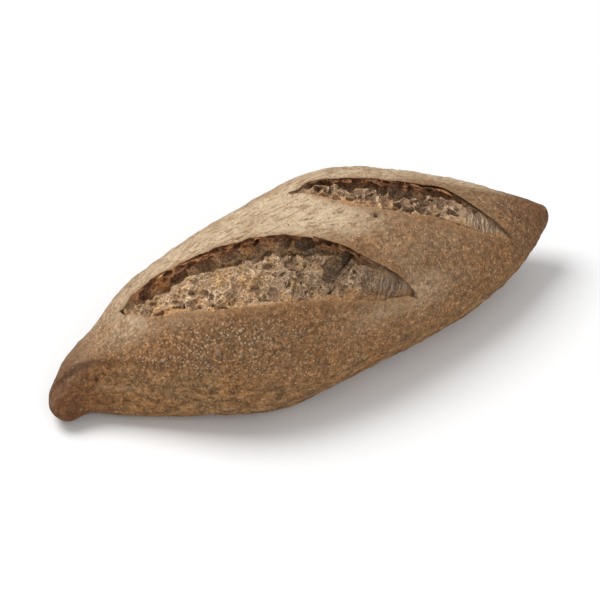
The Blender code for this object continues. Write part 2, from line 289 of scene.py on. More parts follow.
@dataclass(frozen=True)
class RollForm:
    """The roll's form, as its solid has it: cross-sections along X with smooth lines between."""

    length: float = 0.160
    width: float = 0.064
    height: float = 0.0466
    half_width_shares: Stations = (
        (-1.0, 0.19), (-0.9, 0.225), (-0.8, 0.353), (-0.65, 0.58), (-0.4, 0.862), (-0.125, 0.98),
        (0.15, 0.99), (0.425, 0.866), (0.675, 0.590), (0.85, 0.325), (0.94, 0.170), (1.0, 0.038),
    )
    tall_shares: Stations = (
        (-1.0, 0.22), (-0.9, 0.33), (-0.8, 0.48), (-0.65, 0.70), (-0.4, 0.915), (-0.125, 0.985),
        (0.15, 1.0), (0.425, 0.88), (0.675, 0.67), (0.85, 0.415), (0.94, 0.205), (1.0, 0.058),
    )
    sway: Stations = (
        (-1.0, 0.0011), (-0.9, 0.0040), (-0.8, 0.0030), (-0.65, 0.0), (-0.4, -0.0033),
        (-0.125, -0.0021), (0.15, 0.0008), (0.425, 0.0012), (0.675, -0.0016), (0.85, -0.0036),
        (0.94, -0.0042), (1.0, -0.0046),
    )
    lift: Stations = (
        (-1.0, 0.0018), (-0.95, 0.0004), (-0.87, 0.0012), (-0.77, -0.0004), (-0.625, -0.0012),
        (0.375, -0.0012), (0.575, -0.0002), (0.725, 0.0024), (0.85, 0.0062), (0.94, 0.0113),
        (1.0, 0.0156),
    )
    waist_share: float = 0.42
    side_fullness: float = 2.2
    foot_fullness: float = 2.8
    folded_end_round: float = 0.009
    pointed_end_round: float = 0.0015
    end_bluntness: float = 2.6
    fold_line: Stations = (
        (-1.0, 146.0), (-0.945, 103.0), (-0.90, 83.0), (-0.80, 57.0), (-0.67, 34.0),
        (-0.46, 15.0), (-0.34, 2.0), (-0.22, -8.0), (0.1, -34.0), (1.0, -62.0),
    )
    fold_depth: Stations = (
        (-1.0, 0.0), (-0.96, 0.0009), (-0.90, 0.0014), (-0.76, 0.0007), (-0.60, 0.0002),
        (-0.40, 0.00005), (-0.20, 0.0), (1.0, 0.0),
    )
    fold_reach: float = 0.006
    fold_lip: float = 0.35
    fold_step: float = 0.0009
    ear_reach: float = 0.006
    wide_cut: float = 0.008
    ear_over: tuple[float, float] = (0.0010, 0.0040)
    ear_least: float = 0.3
    near_rim_swell: float = 0.0006
    near_rim_reach: float = 0.003
    lump_size: float = 0.022
    lump_height: float = 0.0011
    dimple_size: float = 0.008
    dimple_height: float = 0.0003

    def half_width(self, place: Array) -> Array:
        """Half the roll's width at each place, before its ends are rounded off."""
        return smooth_line(self.half_width_shares, place) * self.width / 2

    def end_rounding(self, place: Array) -> Array:
        """The share of its full section that the roll has, which falls to 0 at its end points.

        Args:
            place: Places along the roll, from -1 to 1.

        Returns:
            A value from 0 to 1 for each.
        """
        x = place * self.length / 2
        folded = np.clip((self.folded_end_round - self.length / 2 - x) / self.folded_end_round, 0, 1)
        pointed = np.clip((x + self.pointed_end_round - self.length / 2) / self.pointed_end_round, 0, 1)
        return np.sqrt((1 - folded**self.end_bluntness) * (1 - pointed**self.end_bluntness))

    def plain(self, place: Array, angle: Array) -> Array:
        """The skin with no relief: superellipse sections, fuller under the waist than over it.

        Args:
            place: Places along the roll.
            angle: Angles around it, in degrees, of like shape.

        Returns:
            Points, (..., 3).
        """
        rounding = self.end_rounding(place)
        half_width = self.half_width(place) * rounding
        tall = smooth_line(self.tall_shares, place) * self.height
        waist = smooth_line(self.lift, place) + self.waist_share * tall
        turn = np.radians(angle)
        across = np.sign(np.cos(turn)) * np.abs(np.cos(turn)) ** (2 / self.side_fullness)
        over = (1 - self.waist_share) * tall * np.abs(np.sin(turn))
        under = -self.waist_share * tall * np.abs(np.sin(turn)) ** (2 / self.foot_fullness)
        z = waist + rounding * np.where(np.sin(turn) > 0, over, under)
        y = smooth_line(self.sway, place) - half_width * across
        x = place * self.length / 2 + np.zeros_like(y)
        return np.stack([x, y, z], axis=-1)

    def normals(self, place: Array, angle: Array) -> Array:
        """Outward directions of the plain skin, from steps along and around it.

        Args:
            place: Places along the roll, from -1 to 1.
            angle: Angles around it, in degrees.

        Returns:
            Directions of length 1, (..., 3).
        """
        along = self.plain(np.minimum(place + 0.002, 0.9999), angle)
        along -= self.plain(np.maximum(place - 0.002, -0.9999), angle)
        around = self.plain(place, angle + 0.25) - self.plain(place, angle - 0.25)
        return unit(np.cross(along, around))

    def angle_over(self, place: Array, y: Array) -> Array:
        """The angle at which the top of the skin lies over y.

        Args:
            place: Places along the roll, from -1 to 1.
            y: How far back each point of the skin is.

        Returns:
            Angles in degrees.
        """
        half_width = self.half_width(place) * self.end_rounding(place)
        across = np.clip((smooth_line(self.sway, place) - y) / half_width, -0.98, 0.98)
        return np.degrees(np.arccos(np.sign(across) * np.abs(across) ** (self.side_fullness / 2)))

    def rim_angles(self, cut: Cut, place: Array) -> dict[Rim, Array]:
        """The angles of a cut's two rims, which run on beyond its ends as one line.

        Args:
            cut: The cut.
            place: Places along the roll, from -1 to 1.

        Returns:
            For each rim, its angle at each place.
        """
        x = place * self.length / 2
        start, end = cut.near[0][0], cut.near[-1][0]
        joined = []
        for k in (0, -1):
            at, y = 2 * cut.near[k][0] / self.length, (cut.near[k][1] + cut.far[k][1]) / 2
            joined.append((at, float(self.angle_over(np.array(at), np.array(y)))))
        before = smooth_line((*cut.lead, joined[0]), place)
        after = smooth_line((joined[1], *cut.tail), place)
        found = {}
        for rim, stations in ((Rim.NEAR, cut.near), (Rim.FAR, cut.far)):
            opened = self.angle_over(place, smooth_line(stations, x))
            found[rim] = np.where(x < start, before, np.where(x > end, after, opened))
        return found

    def fold_relief(self, place: Array, angle: Array) -> Array:
        """The fold at one end: a lip above its line and a step down below it.

        Args:
            place: Places along the roll, from -1 to 1.
            angle: Angles around it, in degrees.

        Returns:
            How far the skin rises, or sinks below 0.
        """
        below = np.radians(smooth_line(self.fold_line, place) - angle) * self.half_width(place)
        depth = smooth_line(self.fold_depth, place)
        sunk = np.clip(below / self.fold_step + 0.5, 0, 1)
        lip = self.fold_lip - sunk * (1 + self.fold_lip)
        return depth * lip * np.exp(-np.abs(below) / self.fold_reach)

    def rim_relief(self, cut: Cut, place: Array, angle: Array) -> Array:
        """The rise of the skin towards a cut's rims, most at the lifted far rim.

        Args:
            cut: The cut.
            place: Places along the roll, from -1 to 1.
            angle: Angles around it, in degrees.

        Returns:
            How far the skin rises.
        """
        samples = np.linspace(-1, 1, 2001)
        rims = self.rim_angles(cut, samples)
        near, far = (np.interp(place, samples, rims[rim]) for rim in (Rim.NEAR, Rim.FAR))
        half_width = self.half_width(place)
        opened = np.clip(np.radians(far - near) * half_width / self.wide_cut, 0, 1)
        share = eased((angle - near) / np.maximum(far - near, 1e-3), 0, 1)
        past_far = np.radians(np.maximum(angle - far, 0)) * half_width
        before_near = np.radians(np.maximum(near - angle, 0)) * half_width
        ear = cut.ear * np.exp(-past_far / self.ear_reach)
        swell = self.near_rim_swell * np.exp(-before_near / self.near_rim_reach)
        deep = eased(smooth_line(cut.depth, place * self.length / 2), *self.ear_over)
        opened *= self.ear_least + (1 - self.ear_least) * deep
        return opened * (share * ear + (1 - share) * swell)

    def uneven(self, place: Array, angle: Array) -> tuple[Array, Array]:
        """The skin with its lumps, fold and risen rims.

        Args:
            place: Places along the roll, from -1 to 1.
            angle: Angles around it, in degrees.

        Returns:
            Its points, and the outward directions of the plain skin at them.
        """
        points = self.plain(place, angle)
        normals = self.normals(place, angle)
        height = self.lump_height * soft_noise(points, self.lump_size, 1)
        height += self.dimple_height * soft_noise(points, self.dimple_size, 2)
        height += self.fold_relief(place, angle)
        for cut in (FRONT_CUT, BACK_CUT):
            height += self.rim_relief(cut, place, angle)
        return points + normals * (height * self.end_rounding(place))[..., None], normals


class Unrolled:
    """The plain skin laid flat: x along the roll, and run, the way over it from the top to the front."""

    ends: float = 0.0795
    angle_step: float = 0.25
    run_step: float = 0.00025

    def __init__(self, form: RollForm) -> None:
        """Measures the form's sections once, for reading both ways.

        Args:
            form: The roll's form.
        """
        self.x = np.linspace(-self.ends, self.ends, 637)
        self.angles = np.linspace(-45, 215, 1041)
        self.runs = np.arange(-0.075, 0.075, self.run_step)
        place = np.repeat((2 * self.x / form.length)[:, None], len(self.angles), axis=1)
        sections = form.plain(place, self.angles[None, :] + 0 * place)
        steps = np.linalg.norm(np.diff(sections, axis=1), axis=-1)
        ways = np.concatenate([np.zeros((len(self.x), 1)), np.cumsum(steps, axis=1)], axis=1)
        tops = ways[:, np.searchsorted(self.angles, 90.0)]
        self.run_table = tops[:, None] - ways
        self.angle_table = np.stack(
            [np.interp(self.runs, row[::-1], self.angles[::-1]) for row in self.run_table]
        )

    @staticmethod
    def _read(table: Array, row: Array, column: Array) -> Array:
        """A table's values between its rows and columns, blended both ways.

        Args:
            table: The table.
            row: Rows, with fractions.
            column: Columns, with fractions.

        Returns:
            One value for each row and column.
        """
        row = np.clip(row, 0, table.shape[0] - 1.001)
        column = np.clip(column, 0, table.shape[1] - 1.001)
        i, j = row.astype(int), column.astype(int)
        a, b = row - i, column - j
        first = table[i, j] * (1 - b) + table[i, j + 1] * b
        second = table[i + 1, j] * (1 - b) + table[i + 1, j + 1] * b
        return first * (1 - a) + second * a

    def _row(self, x: Array) -> Array:
        """The table row of x, with its fraction."""
        return (x - self.x[0]) / (self.x[1] - self.x[0])

    def angle(self, x: Array, run: Array) -> Array:
        """The angle at a place of the flat skin."""
        return self._read(self.angle_table, self._row(x), (run - self.runs[0]) / self.run_step)

    def run(self, x: Array, angle: Array) -> Array:
        """How far an angle lies from the top, towards the front."""
        return self._read(self.run_table, self._row(x), (angle - self.angles[0]) / self.angle_step)


# Finishes


@dataclass(frozen=True)
class CrustFinish:
    """Dry browned crust: its colours, then how wide its patterns and how deep its relief are."""

    dark_brown: Colour = (0.125, 0.064, 0.030)
    brown: Colour = (0.245, 0.116, 0.043)
    tan: Colour = (0.465, 0.258, 0.117)
    low_dark: Colour = (0.125, 0.056, 0.018)
    low_light: Colour = (0.375, 0.198, 0.078)
    amber: Colour = (1.030, 0.950, 0.780)
    flour: Colour = (0.710, 0.540, 0.355)
    speck: Colour = (0.640, 0.470, 0.300)
    baked: Colour = (0.125, 0.043, 0.014)
    golden: Colour = (0.520, 0.310, 0.140)
    glow: Colour = (0.250, 0.115, 0.045)
    # painted shade, laid into the pits and along the crease under the fold
    dark: Colour = (0.050, 0.026, 0.014)
    clouds: float = 0.0080
    mottle: float = 0.0016
    grain: float = 0.00085
    patches: float = 0.0120
    bumps: float = 0.00110
    wrinkles: float = 0.0011
    streaks: float = 0.0017
    specks: float = 0.0010
    chips: float = 0.00058
    relief: float = 0.0009
    roughness: float = 0.82
    specular: float = 0.25


@dataclass(frozen=True)
class CrumbFinish:
    """Open, springy crumb: its colours, then how wide its patterns and how deep its relief are."""

    wall: Colour = (0.285, 0.172, 0.102)
    # pale tone of the webs, and the colour of the painted highlight on the ridges
    ridge_highlight: Colour = (0.700, 0.490, 0.300)
    yellow: Colour = (0.640, 0.400, 0.175)
    # painted shade for the insides of the holes, with some of the crumb's own darker tone
    hole: Colour = (0.100, 0.056, 0.036)
    fibre: Colour = (0.580, 0.430, 0.300)
    gap: Colour = (0.130, 0.076, 0.046)
    tint: Colour = (0.780, 0.560, 0.440)
    frill: Colour = (0.480, 0.240, 0.090)
    skin: Colour = (0.300, 0.180, 0.095)
    mottle: float = 0.0030
    grain: float = 0.00050
    web: float = 0.00135
    fine_web: float = 0.00062
    yellowed: float = 0.0046
    fibres: float = 115.0
    relief: float = 0.0005
    dark_end: float = 0.80
    pale_end: float = 1.26
    soft_light: float = 0.12
    soft_reach: tuple[float, float, float] = (0.0010, 0.0006, 0.0003)
    roughness: float = 0.75
    specular: float = 0.3


@dataclass(frozen=True)
class BranFinish:
    """Bran flakes from straw to brown."""

    straw: Colour = (0.400, 0.275, 0.165)
    brown: Colour = (0.200, 0.108, 0.054)
    grain: float = 0.0004
    relief: float = 0.00008
    roughness: float = 0.7


class Finish:
    """Node by node making of one material."""

    def __init__(self, name: str, roughness: float, specular: float = 0.3) -> None:
        """A new material whose uniform values sit on the shader's own sockets.

        Args:
            name: The material's name.
            roughness: How dull it is, from 0 to 1.
            specular: How much it reflects, 0.5 for plain dry matter.
        """
        self.material = bpy.data.materials.new(name)
        self.material.use_nodes = True
        self.nodes = self.material.node_tree.nodes
        self.links = self.material.node_tree.links
        self.shader = self.nodes["Principled BSDF"]
        self.shader.inputs["Roughness"].default_value = roughness
        self.shader.inputs["Specular IOR Level"].default_value = specular
        self.place = self.nodes.new("ShaderNodeTexCoord").outputs["Object"]

    def _plug(self, value: object, socket: Socket) -> None:
        """Links a socket to another, or sets its number or colour.

        Args:
            value: A socket, a number or a colour.
            socket: Where it goes.
        """
        if isinstance(value, Socket):
            self.links.new(value, socket)
        elif isinstance(value, tuple):
            socket.default_value = (*value, 1.0)
        else:
            socket.default_value = value

    def mask(self, name: str) -> Socket:
        """The values that a piece's vertices hold under a name.

        Args:
            name: The mask's name.

        Returns:
            The socket that gives it.
        """
        node = self.nodes.new("ShaderNodeAttribute")
        node.attribute_name = name
        return node.outputs["Fac"]

    def math(self, how: str, a: object, b: object) -> Socket:
        """Arithmetic on two values.

        Args:
            how: The kind of arithmetic.
            a: The first value.
            b: The second value.

        Returns:
            The socket that gives it.
        """
        node = self.nodes.new("ShaderNodeMath")
        node.operation = how
        self._plug(a, node.inputs[0])
        self._plug(b, node.inputs[1])
        return node.outputs["Value"]

    def times(self, a: object, b: object) -> Socket:
        """Two values multiplied."""
        return self.math("MULTIPLY", a, b)

    def sum(self, *values: object) -> Socket:
        """Values added up.

        Args:
            values: Sockets or numbers.

        Returns:
            The socket that gives it.
        """
        total = values[0]
        for value in values[1:]:
            total = self.math("ADD", total, value)
        return total

    def stretched(self, scale: tuple[float, float, float]) -> Socket:
        """Places whose patterns come out longer along the way with the smallest scale.

        Args:
            scale: How much finer the pattern gets along X, Y and Z.

        Returns:
            The socket that gives it.
        """
        node = self.nodes.new("ShaderNodeMapping")
        node.inputs["Scale"].default_value = scale
        self.links.new(self.place, node.inputs["Vector"])
        return node.outputs["Vector"]

    def _pattern(self, kind: str, size: float, place: Socket | None = None) -> bpy.types.Node:
        """A texture with bumps or cells of about a size, on given places or the piece's own.

        Args:
            kind: The texture's kind.
            size: The size of a bump or cell.
            place: Places to use instead of the piece's own.

        Returns:
            The texture's node.
        """
        node = self.nodes.new(kind)
        node.inputs["Scale"].default_value = 1 / size
        self.links.new(place or self.place, node.inputs["Vector"])
        return node

    def noise(self, size: float, detail: float = 3.0, rough: float = 0.55,
              place: Socket | None = None) -> Socket:
        """Soft noise from 0 to 1 with bumps of about a size.

        Args:
            size: The size of a bump.
            detail: How many finer sizes are added.
            rough: How strong each finer size is.
            place: Places to use instead of the piece's own.

        Returns:
            The socket that gives it.
        """
        node = self._pattern("ShaderNodeTexNoise", size, place)
        node.inputs["Detail"].default_value = detail
        node.inputs["Roughness"].default_value = rough
        return node.outputs["Fac"]

    def cells(self, size: float, place: Socket | None = None) -> Socket:
        """The distance to the nearest of many scattered points, in cell sizes."""
        return self._pattern("ShaderNodeTexVoronoi", size, place).outputs["Distance"]

    def chips(self, size: float, place: Socket) -> Socket:
        """A tone for each of many scattered cells: its random colour as one value, near 0.5 in most."""
        return self.times(self._pattern("ShaderNodeTexVoronoi", size, place).outputs["Color"], 1.0)

    def walls(self, size: float, place: Socket) -> Socket:
        """The distance to the nearest wall between scattered cells, in cell sizes.

        Args:
            size: The size of a cell.
            place: Places to use instead of the piece's own.

        Returns:
            The socket that gives it.
        """
        node = self._pattern("ShaderNodeTexVoronoi", size, place)
        node.feature = "DISTANCE_TO_EDGE"
        return node.outputs["Distance"]

    def lines(self, value: Socket) -> Socket:
        """Soft noise along a value alone, a bump for each whole step of it, swayed a little.

        Args:
            value: What the lines follow.

        Returns:
            The socket that gives it.
        """
        node = self.nodes.new("ShaderNodeTexNoise")
        node.noise_dimensions = "1D"
        node.inputs["Scale"].default_value = 1.0
        sway = self.times(self.noise(0.0025), 3.0)
        self.links.new(self.sum(value, sway), node.inputs["W"])
        return node.outputs["Fac"]

    def warped(self, size: float, by: float) -> Socket:
        """Places moved about softly, so that patterns on them come out uneven.

        Args:
            size: The size of a bend.
            by: How far places move at most.

        Returns:
            The socket that gives it.
        """
        noise = self._pattern("ShaderNodeTexNoise", size)
        moved = self.nodes.new("ShaderNodeVectorMath")
        moved.operation = "MULTIPLY_ADD"
        moved.inputs[1].default_value = (by, by, by)
        self.links.new(noise.outputs["Color"], moved.inputs[0])
        self.links.new(self.place, moved.inputs[2])
        return moved.outputs["Vector"]

    def span(self, value: Socket, low: float, high: float,
             to_low: float = 0.0, to_high: float = 1.0) -> Socket:
        """A value's range moved from low..high to to_low..to_high, and held within it.

        Args:
            value: The value.
            low: Where its range starts.
            high: Where its range ends.
            to_low: What the start becomes.
            to_high: What the end becomes.

        Returns:
            The socket that gives it.
        """
        node = self.nodes.new("ShaderNodeMapRange")
        node.interpolation_type = "SMOOTHSTEP"
        for name, number in zip(("From Min", "From Max", "To Min", "To Max"), (low, high, to_low, to_high)):
            node.inputs[name].default_value = number
        self.links.new(value, node.inputs["Value"])
        return node.outputs["Result"]

    def mix(self, share: object, a: object, b: object, how: str = "MIX") -> Socket:
        """Colour a turned into colour b by a share.

        Args:
            share: How much of b, from 0 to 1.
            a: The first colour.
            b: The second colour.
            how: The kind of blend.

        Returns:
            The socket that gives it.
        """
        node = self.nodes.new("ShaderNodeMix")
        node.data_type = "RGBA"
        node.blend_type = how
        self._plug(share, node.inputs[0])
        self._plug(a, node.inputs[6])
        self._plug(b, node.inputs[7])
        return node.outputs[2]

    def grain(self, colour: Socket, value: Socket, dark: float, light: float) -> Socket:
        """The colour made darker and lighter by a value from 0 to 1.

        Args:
            colour: The colour.
            value: What it follows.
            dark: Its brightness at low values.
            light: Its brightness at high values.

        Returns:
            The socket that gives it.
        """
        node = self.nodes.new("ShaderNodeHueSaturation")
        self.links.new(self.span(value, 0.25, 0.75, dark, light), node.inputs["Value"])
        self.links.new(colour, node.inputs["Color"])
        return node.outputs["Color"]

    def finish(self, colour: Socket, height: Socket, depth: float) -> Material:
        """Joins colour and bump to the shader.

        Args:
            colour: The surface's colour.
            height: The bumps' height.
            depth: How deep a bump of height 1 is.

        Returns:
            The finished material.
        """
        bump = self.nodes.new("ShaderNodeBump")
        bump.inputs["Strength"].default_value = 1.0
        bump.inputs["Distance"].default_value = depth
        self.links.new(height, bump.inputs["Height"])
        self.links.new(bump.outputs["Normal"], self.shader.inputs["Normal"])
        self.links.new(colour, self.shader.inputs["Base Color"])
        return self.material


def crust_material(look: CrustFinish) -> Material:
    """Crust: mottled brown, streaked below the fold, floury by its mask, redder where it baked hard, with
    painted shade in its pits and along the crease under the fold.

    Args:
        look: Its colours and sizes.

    Returns:
        The material, which reads the crust's masks.
    """
    make = Finish("crust", look.roughness, look.specular)
    long_place = make.stretched(ALONG_ROLL)
    clouds = make.noise(look.clouds, 4.0)
    mottle = make.noise(look.mottle, 6.0, 0.72)
    grain = make.noise(look.grain, 5.0, 0.80)
    wrinkle = make.noise(look.wrinkles, 4.0, 0.62, long_place)
    streak = make.noise(look.streaks, 5.0, 0.65, long_place)
    chips = make.chips(look.chips, make.warped(0.0012, 0.0006))
    bumps = make.span(make.cells(look.bumps, make.warped(0.0015, 0.0008)), 0.40, 0.14)
    bumps = make.times(make.mask("branny"), bumps)
    specks = make.span(make.cells(look.specks), 0.29, 0.14)
    specks = make.times(specks, make.span(make.mask("low"), 0.0, 1.0, 0.62, 0.28))
    # brown, mottled from dark to tan, and streaked instead on the low skin
    colour = make.mix(make.span(mottle, 0.33, 0.52), look.dark_brown, look.brown)
    colour = make.mix(make.span(mottle, 0.50, 0.68), colour, look.tan)
    low = make.mix(make.span(streak, 0.34, 0.66), look.low_dark, look.low_light)
    colour = make.mix(make.mask("low"), colour, low)
    colour = make.mix(make.span(make.noise(look.patches), 0.40, 0.62), colour, look.amber, "MULTIPLY")
    # bran under the surface
    colour = make.mix(make.span(make.mask("branny"), 0.3, 1.0, 0.0, 0.32), colour, look.dark_brown)
    colour = make.mix(specks, colour, look.speck)
    colour = make.mix(make.times(bumps, 0.60), colour, look.speck)
    colour = make.grain(colour, chips, 0.72, 1.30)
    # flour, thinner in the wrinkles
    powder = make.times(make.mask("flour"), make.span(clouds, 0.25, 0.70, 0.70, 1.15))
    powder = make.times(powder, make.span(wrinkle, 0.34, 0.56, 0.35, 1.05))
    colour = make.mix(powder, colour, look.flour)
    # what the oven browned most
    reddish = make.times(make.mask("bake"), make.span(mottle, 0.25, 0.75, 0.6, 1.1))
    colour = make.mix(reddish, colour, look.baked)
    colour = make.mix(make.mask("glow"), colour, look.glow)
    edge = make.times(make.mask("edge"), make.span(grain, 0.3, 0.6, 0.4, 1.0))
    colour = make.mix(edge, colour, look.golden)
    # painted shade in the pits and along the crease under the fold
    colour = make.mix(make.mask("pit_and_crease_shade"), colour, look.dark)
    colour = make.grain(colour, grain, 0.66, 1.36)
    height = make.sum(make.times(mottle, 0.8), make.times(grain, 0.45), make.times(wrinkle, 0.7),
                      make.times(bumps, 0.6), make.times(chips, 0.12))
    return make.finish(colour, height, look.relief)


def crumb_material(look: CrumbFinish) -> Material:
    """Crumb: ridges paler than walls by a painted highlight, holes darker by painted shade, browned towards
    the skin.

    Args:
        look: Its colours and sizes.

    Returns:
        The material, which reads the crumb's masks.
    """
    make = Finish("crumb", look.roughness, look.specular)
    mottle = make.noise(look.mottle, 5.0, 0.62)
    grain = make.noise(look.grain, 4.0, 0.75)
    warped = make.warped(0.0022, 0.0012)
    web = make.span(make.walls(look.web, warped), 0.03, 0.20, 1.0, 0.0)
    fine_web = make.span(make.walls(look.fine_web, warped), 0.03, 0.24, 1.0, 0.0)
    net = make.math("MAXIMUM", web, make.times(fine_web, 0.65))
    fibres = make.span(make.lines(make.times(make.mask("along"), look.fibres)), 0.40, 0.60)
    striped = make.mask("striped")
    # pale webs on the walls and a painted highlight on the ridges, none in the holes
    raised = make.math("MAXIMUM", net, make.times(make.mask("ridge_highlight"), 0.8))
    raised = make.times(raised, make.span(mottle, 0.32, 0.55, 0.45, 1.0))
    raised = make.times(raised, make.math("SUBTRACT", 1.0, make.mask("hole")))
    tone = make.mix(make.span(make.noise(look.yellowed), 0.44, 0.60), look.ridge_highlight, look.yellow)
    colour = make.mix(raised, look.wall, tone)
    colour = make.mix(make.times(striped, 0.85), colour, make.mix(fibres, look.gap, look.fibre))
    # painted shade in the holes, lighter where webs cross them
    shut = make.math("SUBTRACT", 1.0, make.times(net, 0.30))
    colour = make.mix(make.times(make.mask("hole"), shut), colour, look.hole)
    # browner at the near rim and under the far rim, paler towards the end that the light reaches
    frill = make.times(make.mask("frill"), make.span(mottle, 0.35, 0.6, 0.30, 1.0))
    colour = make.mix(frill, colour, look.frill)
    colour = make.mix(make.mask("bake"), colour, look.tint, "MULTIPLY")
    colour = make.grain(colour, grain, 0.50, 1.55)
    lit = make.span(make.mask("lit"), 0.0, 1.0, 0.25, 0.75)
    colour = make.grain(colour, lit, look.dark_end, look.pale_end)
    colour = make.mix(make.mask("fade"), colour, look.skin)
    stripes = make.times(make.times(striped, fibres), 1.2)
    height = make.sum(make.times(grain, 0.5), make.times(net, 0.8), stripes)
    make.shader.inputs["Subsurface Weight"].default_value = look.soft_light
    make.shader.inputs["Subsurface Radius"].default_value = look.soft_reach
    make.shader.inputs["Subsurface Scale"].default_value = 1.0
    return make.finish(colour, height, look.relief)


def bran_material(look: BranFinish) -> Material:
    """Bran: each flake its own tone between straw and brown.

    Args:
        look: Its colours and sizes.

    Returns:
        The material, which reads each flake's tone.
    """
    make = Finish("bran", look.roughness)
    grain = make.noise(look.grain)
    colour = make.mix(make.mask("tone"), look.straw, look.brown)
    colour = make.grain(colour, grain, 0.85, 1.15)
    return make.finish(colour, grain, look.relief)


# The crust


@dataclass
class Crust:
    """The skin of the whole roll, which dives under the crumb in each cut."""

    form: RollForm
    columns: int = 350
    band_rows: tuple[int, ...] = (38, 62, 30, 62, 26, 66)
    narrowest_band: float = 0.0012
    least_half_width: float = 0.004
    fray: float = 0.00035
    bumps: tuple[tuple[float, float], ...] = ((0.0030, 0.00020), (0.0015, 0.00014))
    wrinkle: float = 0.0013
    wrinkle_depth: float = 0.00040
    liner: Stations = (
        (0.0, 0.0), (0.0, 0.25), (0.01, 0.8), (0.08, 1.0), (0.5, 1.05), (0.95, 1.08),
        (1.22, 1.0), (1.27, 0.6), (1.25, 0.12), (1.18, 0.045), (1.05, 0.04), (1.0, 0.0),
    )
    liner_extra: float = 0.004
    pits: tuple[tuple[float, float, float, float], ...] = (
        (0.0180, 72.2, 0.0009, 0.0014), (0.0166, 71.5, 0.0005, 0.0006), (-0.0539, -19.2, 0.0007, 0.0007),
        (-0.0519, 0.0, 0.0007, 0.0006), (-0.0484, 11.0, 0.0005, 0.0006), (-0.0683, 35.2, 0.0010, 0.0007),
    )

    def places(self) -> Array:
        """Places of the columns, evenly far apart on the line over the roll's top.

        Returns:
            Places, in rising order, without the two end points.
        """
        fine = -np.cos(np.linspace(0, np.pi, 4001))
        way = travelled(self.form.plain(fine, np.full_like(fine, 90.0)))
        return np.interp(np.linspace(0, way[-1], self.columns + 1), way, fine)[1:-1]

    def frayed(self, rims: dict[Rim, Array], place: Array, seed: int) -> dict[Rim, Array]:
        """The rims with a fine uneven edge.

        Args:
            rims: For each rim, its angle in each column.
            place: The columns' places.
            seed: Picks the pattern.

        Returns:
            The same, with the edge's waves.
        """
        half_width = np.maximum(self.form.half_width(place), self.least_half_width)
        x = place * self.form.length / 2
        out = {}
        for k, (rim, angles) in enumerate(rims.items()):
            line = np.stack([x, 0 * x + 0.01 * k, 0 * x], axis=-1)
            wave = soft_noise(line, 0.0031, seed) + 0.7 * soft_noise(line, 0.0013, seed + 1)
            out[rim] = angles + np.degrees(self.fray * wave / half_width)
        return out

    def apart(self, near: Array, far: Array, place: Array) -> tuple[Array, Array]:
        """Two lines moved apart where the band between them is too narrow for its rows.

        Args:
            near: The near rim's angles, in degrees.
            far: The far rim's angles, in degrees.
            place: The columns' places.

        Returns:
            The two lines, moved.
        """
        half_width = np.maximum(self.form.half_width(place), self.least_half_width)
        least = np.degrees(self.narrowest_band / half_width)
        middle, half = (near + far) / 2, np.maximum((far - near) / 2, least)
        return middle - half, middle + half

    def angles(self, place: Array, lines: list[Array]) -> Array:
        """Angles of each column's rows: between two lines the rows are evenly far apart.

        Args:
            place: The columns' places.
            lines: The angles of each line between two bands.

        Returns:
            Angles, one row of them for each column.
        """
        fine = np.linspace(-90, 270, 1441)
        marks_at = np.stack(lines, axis=1)
        rows = np.empty((len(place), sum(self.band_rows)))
        rings = self.form.plain(place[:, None] + 0 * fine[None, :], fine[None, :] + 0 * place[:, None])
        for i, ring in enumerate(rings):
            way = travelled(ring)
            marks = np.interp(marks_at[i], fine, way)
            wanted = [
                np.linspace(marks[k], marks[k + 1], count, endpoint=False)
                for k, count in enumerate(self.band_rows)
            ]
            rows[i] = np.interp(np.concatenate(wanted), way, fine)
        return rows

    def fine_relief(self, points: Array, flour: Array) -> Array:
        """Small unevenness: bumps of two sizes, and wrinkles along the roll, most where it is floury.

        Args:
            points: Points of the plain skin.
            flour: How floury it is at each.

        Returns:
            How far the skin rises at each.
        """
        wrinkles = np.minimum(soft_noise(points * np.array(ALONG_ROLL), self.wrinkle, 23) + 0.25, 0)
        height = sum(tall * soft_noise(points, size, 21 + k) for k, (size, tall) in enumerate(self.bumps))
        return height + self.wrinkle_depth * wrinkles * (0.3 + 0.7 * flour)

    def dig(self, points: Array) -> tuple[Array, Array]:
        """Small round holes in the skin.

        Args:
            points: Points of the plain skin.

        Returns:
            How deep each point sinks, and a mask of the holes' insides, where the finish paints shade.
        """
        sunk = np.zeros(points.shape[:-1])
        mask = np.zeros(points.shape[:-1])
        for x, angle, radius, depth in self.pits:
            centre = self.form.plain(np.array(2 * x / self.form.length), np.array(angle))
            away = np.linalg.norm(points - centre, axis=-1) / radius
            bowl = np.exp(-(away**2))
            sunk += depth * bowl
            mask = np.maximum(mask, eased(bowl, 0.35, 0.9))
        return sunk, mask

    def flour_mask(self, place: Array, angle: Array) -> Array:
        """Floury over the top and back, bare on the low front and at both tips.

        The share is the greatest of five: the top, a faint veil on the front, a patch right of the
        front cut, the crust behind the back cut, and a pale seam near the folded end.

        Args:
            place: Places along the roll, from -1 to 1.
            angle: Angles around it, in degrees.

        Returns:
            A value from 0 to 1 for each.
        """
        top = eased(angle, 50, 84) * (1 - 0.8 * eased(angle, 105, 165))
        folded = 1 - 0.65 * eased(-place, 0.45, 0.85)
        pointed = 1 - eased(place, 0.15, 0.62)
        faint = eased(angle, 15, 50) * eased(place, -0.1, 0.25) * (1 - eased(place, 0.55, 0.85))
        patch = spot(place, angle, (0.22, 21), (0.20, 12))
        behind = eased(angle, 84, 98) * (1 - eased(angle, 145, 185))
        behind *= eased(place, 0.15, 0.40) * (1 - eased(place, 0.74, 0.94))
        seam = np.exp(-(((angle - np.interp(place, (-0.85, -0.76), (23.0, 14.0))) / 1.8) ** 2))
        seam *= eased(place, -0.87, -0.84) * eased(-place, 0.74, 0.78)
        parts = (0.93 * top * folded * pointed, 0.18 * faint, 0.50 * patch, 0.78 * behind, 0.55 * seam)
        return 0.03 + np.maximum.reduce(parts)

